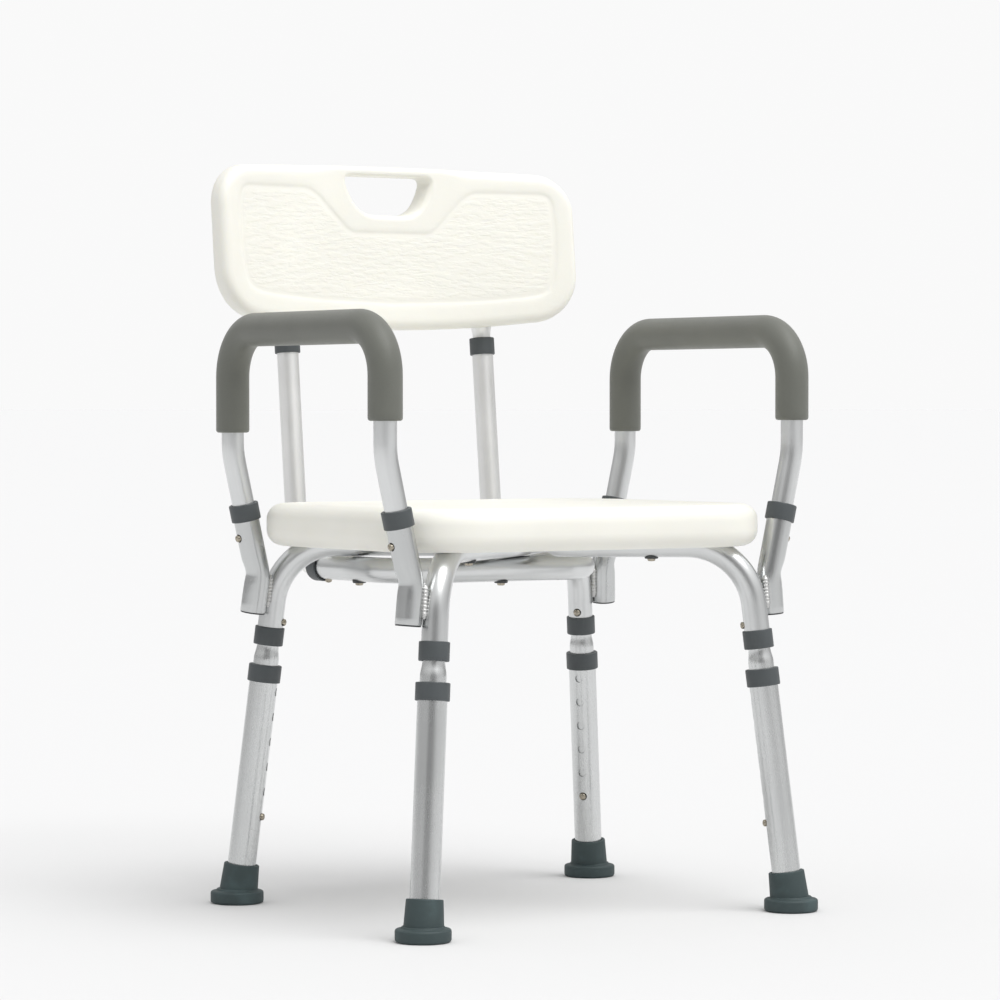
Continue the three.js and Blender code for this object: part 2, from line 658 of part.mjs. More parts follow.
function armAssembly(side) {
  const group = new THREE.Group();
  group.add(
    named(`arm_tube_${side.name}`, armTube(side.x), 'aluminium'),
    named(`arm_grip_${side.name}`, armGrip(side.x), 'foam'),
  );
  for (const corner of CORNERS.filter(({ x }) => x === side.x)) {
    const top = sided(side.x, point(armLineX(SOCKET_TOP_Z), armY(corner.y), SOCKET_TOP_Z));
    const collar = capCollar(SOCKET_RADIUS + COLLAR_WALL, SOCKET_RADIUS, ARM_RADIUS, ARM_COLLAR_LENGTH);
    const button = buttonShape(ARM_RADIUS - ARM_WALL, SOCKET_RADIUS);
    const out = armButtonOut(side.x);
    group.add(
      named(`arm_socket_${corner.name}`, socket(side.x, corner.y), 'aluminium'),
      named(`arm_collar_${corner.name}`, aimed(collar, top, armUp(side.x)), 'collar'),
      named(`arm_button_${corner.name}`, aimed(button, armButtonAt(side.x, corner.y), out), 'steel'),
    );
  }
  return group;
}

// ---------------------------------------------------------------- back bracket and posts

function bracket() {
  const route = new Route([
    point(-BRACKET_HALF_X, BRACKET_REAR_Y, BRACKET_Z),
    point(-BRACKET_HALF_X, BRACKET_FRONT_Y, BRACKET_Z),
    point(BRACKET_HALF_X, BRACKET_FRONT_Y, BRACKET_Z),
    point(BRACKET_HALF_X, BRACKET_REAR_Y, BRACKET_Z),
  ], [BRACKET_BEND, BRACKET_BEND], 6);
  const holes = SIDES.map(({ x }) => (
    aimed(buttonHole(FRAME_RADIUS), point(x * BRACKET_HALF_X, BRACKET_BUTTON_Y, BRACKET_Z), point(0, 0, -1))
  ));
  return cut(tube(route, FRAME_RADIUS, FRAME_BORE), ...holes);
}

function postY(z) {
  return POST_Y_AT_SEAT + RECLINE * (z - SEAT_TOP_Z);
}

const POST_UP = point(0, RECLINE, 1).normalize();

function post(x) {
  const route = new Route([
    point(x, BRACKET_REAR_Y - POST_ENGAGEMENT, BRACKET_Z),
    point(x, postY(BRACKET_Z), BRACKET_Z),
    point(x, postY(POST_TOP_Z), POST_TOP_Z),
  ], [POST_BEND], 6);
  const hole = aimed(buttonHole(POST_RADIUS), point(x, BRACKET_BUTTON_Y, BRACKET_Z), point(0, 0, -1));
  return cut(tube(route, POST_RADIUS, POST_BORE), hole);
}

// The stub stands on the post: its swaged neck drops into the post and its body enters the panel
function stub() {
  return turned([
    [0, -STUB_NECK_BELOW],
    [STUB_NECK_RADIUS, -STUB_NECK_BELOW],
    [STUB_NECK_RADIUS, STUB_NECK_ABOVE],
    [STUB_RADIUS, STUB_NECK_ABOVE + STUB_SHOULDER],
    [STUB_RADIUS, stubTop()],
    [0, stubTop()],
  ]);
}

function stubTop() {
  return (PANEL_BOTTOM_Z - POST_TOP_Z + STUB_IN_PANEL) / POST_UP.z;
}

function backAssembly(side) {
  const x = side.x * BRACKET_HALF_X;
  const top = point(x, postY(POST_TOP_Z), POST_TOP_Z);
  const bracketEnd = point(x, BRACKET_REAR_Y, BRACKET_Z);
  const buttonAt = point(x, BRACKET_BUTTON_Y, BRACKET_Z);
  const postCollar = capCollar(POST_RADIUS + COLLAR_WALL, POST_RADIUS, STUB_NECK_RADIUS, POST_COLLAR_LENGTH);
  const bracketCollar = capCollar(
    FRAME_RADIUS + COLLAR_WALL, FRAME_RADIUS, POST_RADIUS, BRACKET_COLLAR_LENGTH,
  );
  const button = buttonShape(POST_BORE, FRAME_RADIUS);
  const group = new THREE.Group();
  group.add(
    named(`back_post_${side.name}`, post(x), 'aluminium'),
    named(`back_collar_${side.name}`, aimed(postCollar, top, POST_UP), 'collar'),
    named(`back_stub_${side.name}`, aimed(stub(), top, POST_UP), 'aluminium'),
    named(`bracket_collar_${side.name}`, aimed(bracketCollar, bracketEnd, point(0, 1, 0)), 'collar'),
    named(`bracket_button_${side.name}`, aimed(button, buttonAt, point(0, 0, -1)), 'steel'),
  );
  return group;
}

// ---------------------------------------------------------------- back panel

// Height of the panel's lower and upper edges at a distance from the middle
function panelBottom(x) {
  return PANEL_BOTTOM_Z + PANEL_BOTTOM_RISE * (x / PANEL_HALF_X) ** 2;
}

function panelTop(x) {
  return PANEL_TOP_Z - PANEL_TOP_DROP * (x / PANEL_HALF_X) ** 2;
}

// The face outline in X and Z, moved in by an inset: two crowned edges and four round corners
function panelOutline(inset) {
  const half = PANEL_HALF_X - inset;
  const low = PANEL_BOTTOM_CORNER - inset;
  const high = PANEL_TOP_CORNER - inset;
  const bottom = panelBottom(half - low) + inset;
  const top = panelTop(half - high) - inset;
  const shape = new THREE.Shape();
  shape.moveTo(low - half, bottom);
  shape.quadraticCurveTo(0, 2 * (PANEL_BOTTOM_Z + inset) - bottom, half - low, bottom);
  shape.absarc(half - low, bottom + low, low, 1.5 * Math.PI, 2 * Math.PI);
  shape.absarc(half - high, top - high, high, 0, Math.PI / 2);
  shape.quadraticCurveTo(0, 2 * (PANEL_TOP_Z - inset) - top, high - half, top);
  shape.absarc(high - half, top - high, high, Math.PI / 2, Math.PI);
  shape.absarc(low - half, bottom + low, low, Math.PI, 1.5 * Math.PI);
  return shape;
}

// Extrudes a shape drawn in X and Z through the whole depth of the back
function throughBack(shape) {
  const depth = PANEL_SAGITTA + 2 * PANEL_MARGIN;
  const prism = new THREE.ExtrudeGeometry(shape, { depth, bevelEnabled: false, curveSegments: 4 });
  return prism.rotateX(Math.PI / 2).translate(0, PANEL_Y + depth / 2, 0);
}

// The curved slab seen from above, with rounded top, bottom and end edges, before it is leant back
function panelSlab(inset) {
  const edge = PANEL_EDGE - inset;
  const half = PANEL_THICKNESS / 2 - inset - edge;
  const reach = Math.asin((PANEL_HALF_X - inset - edge) / PANEL_ARC);
  const shape = new THREE.Shape();
  const middle = PANEL_Y - PANEL_ARC;
  shape.absarc(0, middle, PANEL_ARC - half, Math.PI / 2 - reach, Math.PI / 2 + reach, false);
  shape.absarc(0, middle, PANEL_ARC + half, Math.PI / 2 + reach, Math.PI / 2 - reach, true);
  const depth = PANEL_TOP_Z - PANEL_BOTTOM_Z - 2 * inset - 2 * edge;
  return new THREE.ExtrudeGeometry(shape, {
    depth, bevelThickness: edge, bevelSize: edge, bevelSegments: 2, curveSegments: 7,
  }).translate(0, 0, PANEL_BOTTOM_Z + inset + edge);
}

function leantBack(geometry) {
  const lean = new THREE.Matrix4().set(1, 0, 0, 0, 0, 1, RECLINE, -RECLINE * PANEL_Y_AT_Z, 0, 0, 1, 0, 0, 0, 0, 1);
  return geometry.applyMatrix4(lean);
}

// A polygon with its corners rounded by one radius
function roundedPolygon(corners, radius) {
  const shape = new THREE.Shape();
  corners.forEach((corner, i) => {
    const before = corners.at(i - 1).clone().sub(corner).normalize().multiplyScalar(radius).add(corner);
    const after = corners[(i + 1) % corners.length].clone().sub(corner).normalize();
    after.multiplyScalar(radius).add(corner);
    if (i === 0) shape.moveTo(before.x, before.y);
    else shape.lineTo(before.x, before.y);
    shape.quadraticCurveTo(corner.x, corner.y, after.x, after.y);
  });
  return shape;
}

function handleOutline(grow) {
  return roundedPolygon([
    new THREE.Vector2(-HANDLE_TOP_HALF - grow, HANDLE_TOP_Z + grow),
    new THREE.Vector2(-HANDLE_BOTTOM_HALF - grow, HANDLE_BOTTOM_Z - grow),
    new THREE.Vector2(HANDLE_BOTTOM_HALF + grow, HANDLE_BOTTOM_Z - grow),
    new THREE.Vector2(HANDLE_TOP_HALF + grow, HANDLE_TOP_Z + grow),
  ], HANDLE_CORNER);
}

function panelBody(inset) {
  const outlined = common(panelSlab(inset), throughBack(panelOutline(inset)));
  return leantBack(cut(outlined, throughBack(handleOutline(inset))));
}

// The stubs enter from below, and a round boss stands behind the panel over each of them
function backPanel() {
  const seats = SIDES.map(({ x }) => point(x * BRACKET_HALF_X, postY(POST_TOP_Z), POST_TOP_Z));
  const column = (allowance, from) => seats.map((seatAt) => (
    aimed(rod((STUB_RADIUS + allowance) * AROUND, from, stubTop() + allowance), seatAt, POST_UP)
  ));
  const bore = (allowance) => column(allowance, 0);
  const hollow = cut(panelBody(PANEL_WALL), ...bore(CLEARANCE + PANEL_WALL));
  const vent = rod(PANEL_VENT_RADIUS, PANEL_BOTTOM_Z - PANEL_WALL, PANEL_BOTTOM_Z + 3 * PANEL_WALL);
  vent.translate(0, PANEL_Y + RECLINE * (PANEL_BOTTOM_Z - PANEL_Y_AT_Z), 0);
  const shell = join(panelBody(0), ...column(CLEARANCE + PANEL_WALL, PANEL_BOSS_ABOVE));
  return cut(shell, ...bore(CLEARANCE), hollow, vent);
}

// ---------------------------------------------------------------- the chair

const chair = new THREE.Group();
chair.add(
  named('seat_panel', seat(), 'cream'),
  crossTube('cross_tube_over', -1, 1),
  crossTube('cross_tube_under', 1, -1),
  named('back_bracket_tube', bracket(), 'aluminium'),
  named('back_panel', backPanel(), 'cream'),
);
CORNERS.forEach((corner) => chair.add(leg(corner)));
SIDES.forEach((side) => chair.add(armAssembly(side), backAssembly(side)));

// The origin is on the floor under the middle of the chair's box
chair.updateMatrixWorld(true);
const box = new THREE.Box3().setFromObject(chair, true);
const middle = box.getCenter(new THREE.Vector3());
chair.position.set(-middle.x, -middle.y, -box.min.z);

export default chair;
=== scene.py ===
"""A knock-down shower chair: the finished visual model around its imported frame.

Sizes are in millimetres in the chair's own drawing frame (origin on the floor between the feet,
-Y the front, +X the sitter's left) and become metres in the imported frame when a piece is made.
"""
import logging
import math
from dataclasses import dataclass, field
from enum import Enum
from typing import Callable, Iterable, Sequence

import bpy
import numpy as np
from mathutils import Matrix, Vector
from mathutils.geometry import delaunay_2d_cdt

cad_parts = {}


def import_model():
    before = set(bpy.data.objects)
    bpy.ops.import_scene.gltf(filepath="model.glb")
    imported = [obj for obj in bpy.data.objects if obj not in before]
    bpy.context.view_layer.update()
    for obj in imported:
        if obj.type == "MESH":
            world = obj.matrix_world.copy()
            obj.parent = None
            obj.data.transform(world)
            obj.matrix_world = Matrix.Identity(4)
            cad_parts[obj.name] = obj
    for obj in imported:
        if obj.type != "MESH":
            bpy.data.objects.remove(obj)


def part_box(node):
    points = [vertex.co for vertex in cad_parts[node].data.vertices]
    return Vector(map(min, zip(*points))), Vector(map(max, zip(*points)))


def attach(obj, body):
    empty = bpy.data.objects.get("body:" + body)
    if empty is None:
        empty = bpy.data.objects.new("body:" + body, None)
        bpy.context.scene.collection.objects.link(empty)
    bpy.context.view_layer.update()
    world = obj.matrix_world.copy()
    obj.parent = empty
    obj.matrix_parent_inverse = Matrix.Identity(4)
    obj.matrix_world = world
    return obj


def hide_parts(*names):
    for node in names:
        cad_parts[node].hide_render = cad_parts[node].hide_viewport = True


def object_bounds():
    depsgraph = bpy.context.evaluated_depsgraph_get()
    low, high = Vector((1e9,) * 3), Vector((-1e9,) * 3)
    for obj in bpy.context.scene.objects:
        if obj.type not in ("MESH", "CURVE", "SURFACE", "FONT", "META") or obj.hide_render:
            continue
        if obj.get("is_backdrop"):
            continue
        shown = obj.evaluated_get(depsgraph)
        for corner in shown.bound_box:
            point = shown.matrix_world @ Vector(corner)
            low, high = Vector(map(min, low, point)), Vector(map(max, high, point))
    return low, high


LOG = logging.getLogger("shower_chair")
MM = 0.001
Colour = tuple[float, float, float]
Vec = Sequence[float]
Array = np.ndarray


class Slot(Enum):
    """The record's material slots."""

    ALUMINIUM = "tube_aluminium"
    CREAM = "cream_plastic"
    COLLAR = "collar_plastic"
    RUBBER = "foot_rubber"
    FOAM = "grip_foam"
    STEEL = "button_steel"


# ------------------------------------------------------------------ shaders


class Value:
    """A shader socket that can be used in sums, so that an expression adds its Math nodes."""

    def __init__(self, shader: "Shader", socket: bpy.types.NodeSocket) -> None:
        """Wraps one output socket of a shader's tree."""
        self.shader = shader
        self.socket = socket

    def _math(self, operation: str, first: object, second: object) -> "Value":
        """One Math node on two values, either of which may be a plain number."""
        node = self.shader.node("ShaderNodeMath", {"operation": operation}, {0: first, 1: second})
        return Value(self.shader, node.outputs[0])

    def __add__(self, other: object) -> "Value":
        """Sum."""
        return self._math("ADD", self, other)

    __radd__ = __add__

    def __sub__(self, other: object) -> "Value":
        """Difference."""
        return self._math("SUBTRACT", self, other)

    def __rsub__(self, other: object) -> "Value":
        """Difference with a plain number first."""
        return self._math("SUBTRACT", other, self)

    def __mul__(self, other: object) -> "Value":
        """Product."""
        return self._math("MULTIPLY", self, other)

    __rmul__ = __mul__


class Shader:
    """A node tree, with a method for each kind of node that is used often."""

    def __init__(self, tree: bpy.types.NodeTree) -> None:
        """Takes a tree over and empties it."""
        self.tree = tree
        self.tree.nodes.clear()

    def node(
        self, kind: str, settings: dict[str, object] | None = None,
        inputs: dict[str | int, object] | None = None,
    ) -> bpy.types.Node:
        """Adds a node.

        Args:
            kind: the node's type.
            settings: its properties, set first.
            inputs: values or links of its sockets, by name or index.

        Returns:
            The new node.
        """
        node = self.tree.nodes.new(kind)
        for key, setting in (settings or {}).items():
            setattr(node, key, setting)
        for key, given in (inputs or {}).items():
            socket = node.inputs[key]
            if isinstance(given, Value):
                given = given.socket
            if isinstance(given, bpy.types.NodeSocket):
                self.tree.links.new(given, socket)
            else:
                socket.default_value = given
        return node

    def place(self) -> bpy.types.NodeSocket:
        """Object coordinates, in metres."""
        return self.node("ShaderNodeTexCoord").outputs["Object"]

    def attribute(self, name: str) -> bpy.types.Node:
        """A mesh attribute by name."""
        return self.node("ShaderNodeAttribute", {"attribute_name": name})

    def noise(
        self, scale: float, at: bpy.types.NodeSocket, stretch: Vec = (1, 1, 1), detail: float = 2,
    ) -> Value:
        """Noise from 0 to 1.

        Args:
            scale: waves per metre.
            at: the coordinates that it is read at.
            stretch: how many times denser it is along each coordinate.
            detail: how many finer layers are added.

        Returns:
            The noise.
        """
        mapped = self.node("ShaderNodeMapping", {}, {"Vector": at, "Scale": tuple(stretch)})
        node = self.node(
            "ShaderNodeTexNoise", {}, {"Vector": mapped.outputs[0], "Scale": scale, "Detail": detail},
        )
        return Value(self, node.outputs[0])

    def cells(self, scale: float, at: bpy.types.NodeSocket) -> Value:
        """Distance to the nearest cell centre, for pores and pebbles."""
        node = self.node("ShaderNodeTexVoronoi", {}, {"Vector": at, "Scale": scale})
        return Value(self, node.outputs[0])

    def ramp(self, value: Value, low: float, high: float) -> Value:
        """A smooth step from 0 at low to 1 at high."""
        node = self.node(
            "ShaderNodeMapRange", {"interpolation_type": "SMOOTHSTEP"}, {0: value, 1: low, 2: high},
        )
        return Value(self, node.outputs[0])

    def blend(self, factor: Value, first: Colour, second: Colour) -> bpy.types.NodeSocket:
        """A colour between two others."""
        node = self.node(
            "ShaderNodeMix", {"data_type": "RGBA"}, {0: factor, 6: (*first, 1), 7: (*second, 1)},
        )
        return node.outputs[2]


class Coat(Shader):
    """The node tree of one finish, around one Principled shader."""

    def __init__(self, tree: bpy.types.NodeTree) -> None:
        """Starts the tree with its shader and output."""
        super().__init__(tree)
        self.surface = self.node("ShaderNodeBsdfPrincipled")
        output = self.node("ShaderNodeOutputMaterial")
        self.tree.links.new(self.surface.outputs[0], output.inputs[0])

    def fix(self, name: str, value: float | Vec) -> None:
        """Sets a socket of the main shader to one value all over."""
        self.surface.inputs[name].default_value = value

    def feed(self, name: str, value: Value | bpy.types.NodeSocket) -> None:
        """Links a value to a socket of the main shader."""
        socket = value.socket if isinstance(value, Value) else value
        self.tree.links.new(socket, self.surface.inputs[name])

    def tint(self, factor: Value, colour: Colour, first: float, second: float) -> None:
        """Varies the colour between two shades of one, given as factors of it."""
        shades = [shade(colour, amount) for amount in (first, second)]
        self.feed("Base Color", self.blend(factor, *shades))

    def bump(self, height: Value, depth: float) -> None:
        """Raises the surface by a height from 0 to 1 times a depth in metres."""
        node = self.node("ShaderNodeBump", {}, {"Strength": 1.0, "Distance": depth, "Height": height})
        self.tree.links.new(node.outputs[0], self.surface.inputs["Normal"])


def shade(colour: Colour, factor: float) -> Colour:
    """A colour made darker or lighter by a factor."""
    return tuple(min(1.0, channel * factor) for channel in colour)


@dataclass(frozen=True)
class Finish:
    """One finish: its name, slot, colour (linear) and roughness, and the nodes that vary them."""

    name: str
    slot: Slot
    colour: Colour
    roughness: float

    def material(self) -> bpy.types.Material:
        """The finished material."""
        material = bpy.data.materials.new(self.name)
        material.use_nodes = True
        coat = Coat(material.node_tree)
        coat.fix("Roughness", self.roughness)
        self.paint(coat)
        return material

    def paint(self, shader: Coat) -> None:
        """Lays the finish's pattern into its shader."""
        raise NotImplementedError


@dataclass(frozen=True)
class DrawnAluminium(Finish):
    """Satin anodised drawn tube: fine streaks along the tube, cloudy patches, small scuffs."""

    streak: float = 0.35
    relief: float = 0.000004

    def paint(self, shader: Coat) -> None:
        """Streaks read the straightened tube's own coordinates, clouds the object's."""
        shader.fix("Metallic", 1.0)
        lay = shader.attribute("lay").outputs["Vector"]
        place = shader.place()
        streaks = shader.noise(420, lay, (1, 1, 0.035), 3)
        grain = shader.noise(1500, lay, (1, 1, 0.06), 1)
        clouds = shader.noise(16, place, detail=3)
        scuffs = shader.ramp(shader.noise(95, place, (1, 1, 0.5), 5), 0.66, 0.74)
        tone = shader.ramp(streaks * self.streak + clouds * (1 - self.streak), 0.34, 0.66)
        shader.tint(tone, self.colour, 0.96, 1.03)
        uneven = (grain - 0.5) * 0.03 + (clouds - 0.5) * 0.05 + scuffs * 0.04
        shader.feed("Roughness", self.roughness + uneven)
        shader.bump(streaks * 0.8 + grain * 0.2, self.relief)


@dataclass(frozen=True)
class MouldedPlastic(Finish):
    """Cream blow-moulded polyethylene: a faint pebble all over, a deep hide grain where masked."""

    hide: float = 0.0004

    def paint(self, shader: Coat) -> None:
        """The mesh attribute grain is 1 where the mould is grained and 0 elsewhere."""
        place = shader.place()
        mask = Value(shader, shader.attribute("grain").outputs["Fac"])
        clouds = shader.noise(9, place, detail=3)
        pebble = shader.noise(900, place, detail=2)
        wrinkles = shader.noise(70, place, (1, 1, 3.4), 5)
        ridges = shader.noise(210, place, (1, 1, 2.0), 3)
        grain = shader.ramp(wrinkles, 0.38, 0.62) * 0.65 + ridges * 0.35
        tone = shader.ramp(clouds, 0.3, 0.7)
        shader.tint(tone, self.colour, 0.975, 1.015)
        shader.feed("Roughness", self.roughness + (pebble - 0.5) * 0.12 + mask * 0.08)
        shader.bump(pebble * 0.06 + grain * mask, self.hide)
        shader.fix("Subsurface Weight", 0.12)
        shader.fix("Subsurface Radius", (0.006, 0.005, 0.003))
        shader.fix("Specular IOR Level", 0.42)


@dataclass(frozen=True)
class CollarNylon(Finish):
    """Grey moulded nylon with a satin skin."""

    relief: float = 0.00006

    def paint(self, shader: Coat) -> None:
        """Fine spark-eroded texture and a slightly uneven gloss."""
        place = shader.place()
        spark = shader.noise(1500, place, detail=3)
        clouds = shader.noise(45, place, detail=2)
        shader.tint(clouds, self.colour, 0.9, 1.12)
        shader.feed("Roughness", self.roughness + (spark - 0.5) * 0.16 + (clouds - 0.5) * 0.1)
        shader.bump(spark, self.relief)


@dataclass(frozen=True)
class MattRubber(Finish):
    """Dark green-grey moulded rubber, dusty in patches."""

    relief: float = 0.00008

    def paint(self, shader: Coat) -> None:
        """Dust lightens the colour, and a fine pore texture breaks up the shine."""
        place = shader.place()
        dust = shader.ramp(shader.noise(38, place, detail=5), 0.5, 0.78)
        pores = shader.noise(1200, place, detail=3)
        shader.tint(dust, self.colour, 1.0, 1.6)
        shader.feed("Roughness", self.roughness + dust * 0.12 + (pores - 0.5) * 0.15)
        shader.bump(pores, self.relief)


@dataclass(frozen=True)
class GripFoam(Finish):
    """Grey closed-cell foam with a smooth skin and fine open pores."""

    relief: float = 0.00014

    def paint(self, shader: Coat) -> None:
        """Pores are small cells sunk into the bump and painted darker, which is painted shade in those
        hollows; the colour is also a little cloudy at random.
        """
        place = shader.place()
        pores = shader.ramp(shader.cells(1050, place), 0.05, 0.42)
        soft = shader.noise(260, place, detail=3)
        clouds = shader.noise(24, place, detail=2)
        # The pores' share darkens the colour in the bump's hollows (painted shade); the clouds' share
        # is random tone.
        tone = shader.ramp(clouds * 0.6 + pores * 0.4, 0.25, 0.8)
        shader.tint(tone, self.colour, 0.88, 1.08)
        shader.feed("Roughness", self.roughness + (1 - pores) * 0.1 + (soft - 0.5) * 0.1)
        shader.bump(pores * 0.6 + soft * 0.4, self.relief)
        shader.fix("Sheen Weight", 0.15)
        shader.fix("Sheen Roughness", 0.5)


@dataclass(frozen=True)
class PlatedSteel(Finish):
    """Bright plated steel, a little brassy, with turning marks and dull spots."""

    relief: float = 0.00002

    def paint(self, shader: Coat) -> None:
        """Spots of dull plating on a bright ground."""
        place = shader.place()
        shader.fix("Metallic", 1.0)
        spots = shader.ramp(shader.noise(420, place, detail=4), 0.48, 0.7)
        fine = shader.noise(2200, place, detail=2)
        shader.tint(spots, self.colour, 1.0, 0.62)
        shader.feed("Roughness", self.roughness + spots * 0.2 + (fine - 0.5) * 0.08)
        shader.bump(fine, self.relief)


@dataclass(frozen=True)
class WeldMetal(Finish):
    """Aluminium weld bead: bright, rippled, with a grey bloom beside the ripples."""

    relief: float = 0.0002

    def paint(self, shader: Coat) -> None:
        """Coarse bloom over fine pits."""
        place = shader.place()
        shader.fix("Metallic", 0.9)
        bloom = shader.noise(240, place, detail=5)
        pits = shader.noise(1400, place, detail=4)
        shader.tint(bloom, self.colour, 0.72, 1.1)
        shader.feed("Roughness", self.roughness + (bloom - 0.5) * 0.3)
        shader.bump(bloom * 0.5 + pits * 0.5, self.relief)


@dataclass(frozen=True)
class StudioFloor(Finish):
    """Plain pale floor."""

    def paint(self, shader: Coat) -> None:
        """A barely uneven paper tone."""
        tone = shader.noise(1.3, shader.place(), detail=2)
        shader.tint(tone, self.colour, 0.995, 1.0)


# ------------------------------------------------------------------ surfaces


@dataclass
class Skin:
    """A closed surface: points in millimetres, faces, and the coordinates its pattern follows."""

    points: Array
    faces: list[list[int]]
    lay: Array
    grain: Array | None = None

    def outward(self) -> "Skin":
        """The same surface with its faces turned outwards, told by the sign of its volume."""
        volume = 0.0
        for count in (3, 4):
            rows = np.array([f for f in self.faces if len(f) == count], int).reshape(-1, count)
            for k in range(1, count - 1):
                a, b, c = (self.points[rows[:, j]] for j in (0, k, k + 1))
                volume += np.einsum("ij,ij->", a, np.cross(b, c))
        if volume < 0:
            self.faces = [face[::-1] for face in self.faces]
        return self


def welded(points: Array, quads: Array, lay: Array, grain: Array | None = None) -> Skin:
    """Joins points that coincide, so that seams and poles are closed.

    Args:
        points: n by 3 positions.
        quads: m by 4 indices.
        lay: n by 3 pattern coordinates.
        grain: n values of the grain mask, where there is one.

    Returns:
        The skin, with a quad that lost a side made a triangle.
    """
    _, first, inverse = np.unique(np.round(points, 4), axis=0, return_index=True, return_inverse=True)
    mapped = inverse.reshape(-1)[quads]
    faces = []
    for face in mapped.tolist():
        kept = [p for i, p in enumerate(face) if p != face[i - 1]]
        if len(kept) > 2:
            faces.append(kept)
    return Skin(points[first], faces, lay[first], None if grain is None else grain[first])


def grid_quads(rows: int, columns: int, wrap_rows: bool, wrap_columns: bool) -> Array:
    """Quads of a rows by columns grid whose point (i, j) is number i * columns + j."""
    i = np.arange(rows if wrap_rows else rows - 1)
    j = np.arange(columns if wrap_columns else columns - 1)
    a, b = np.meshgrid(i, j, indexing="ij")
    a2, b2 = (a + 1) % rows, (b + 1) % columns
    corners = (a * columns + b, a * columns + b2, a2 * columns + b2, a2 * columns + b)
    return np.stack([c.ravel() for c in corners], 1)


def eased(corners: Sequence[Sequence[float]], steps: int = 4, closed: bool = False) -> Array:
    """A flat profile with its corners rounded.

    Each corner (x, y, ease) is replaced by a quadratic curve that leaves its two sides at ease
    from the corner: P = (1-t)^2 A + 2t(1-t) C + t^2 B.

    Args:
        corners: rows of x, y and the distance from the corner where the curve starts.
        steps: pieces of each curve.
        closed: whether the last corner joins the first.

    Returns:
        Points, n by 2.
    """
    out: list[Array] = []
    count = len(corners)
    for i, (x, y, ease) in enumerate(corners):
        corner = np.array([x, y], float)
        if ease <= 0 or (not closed and i in (0, count - 1)):
            out.append(corner[None])
            continue
        before = np.array(corners[i - 1][:2], float) - corner
        after = np.array(corners[(i + 1) % count][:2], float) - corner
        start = corner + before / np.linalg.norm(before) * min(ease, np.linalg.norm(before) / 2)
        end = corner + after / np.linalg.norm(after) * min(ease, np.linalg.norm(after) / 2)
        t = np.linspace(0, 1, steps + 1)[:, None]
        out.append((1 - t) ** 2 * start + 2 * t * (1 - t) * corner + t**2 * end)
    return np.concatenate(out)


def unit(vector: Vec) -> Array:
    """A vector made one long."""
    array = np.asarray(vector, float)
    return array / np.linalg.norm(array)


def across(direction: Array) -> tuple[Array, Array]:
    """Two unit directions at right angles to a given one and to each other."""
    helper = np.array([0, 1.0, 0]) if abs(direction[1]) < 0.9 else np.array([1.0, 0, 0])
    first = unit(np.cross(helper, direction))
    return first, np.cross(direction, first)


def turned(profile: Array, origin: Vec, direction: Vec, sides: int = 48) -> Skin:
    """A turned surface: P = origin + height * direction + radius * (cos a * U + sin a * V).

    Args:
        profile: radius and height, n by 2; a ring when it doesn't start on the axis.
        origin: where height is nought.
        direction: the axis.
        sides: how many steps there are round it.

    Returns:
        The closed surface.
    """
    axis = unit(direction)
    first, second = across(axis)
    angle = np.arange(sides) * 2 * math.pi / sides
    ring = np.cos(angle)[:, None] * first + np.sin(angle)[:, None] * second
    radius, height = profile[:, 0], profile[:, 1]
    points = np.asarray(origin) + height[:, None, None] * axis + radius[:, None, None] * ring[None]
    flat = np.stack([np.cos(angle), np.sin(angle)], 1)
    lay = np.concatenate(
        [radius[:, None, None] * flat, np.tile(height[:, None, None], (1, sides, 1))], 2,
    )
    quads = grid_quads(len(radius), sides, radius[0] > 1e-6, True)
    return welded(points.reshape(-1, 3), quads, lay.reshape(-1, 3)).outward()


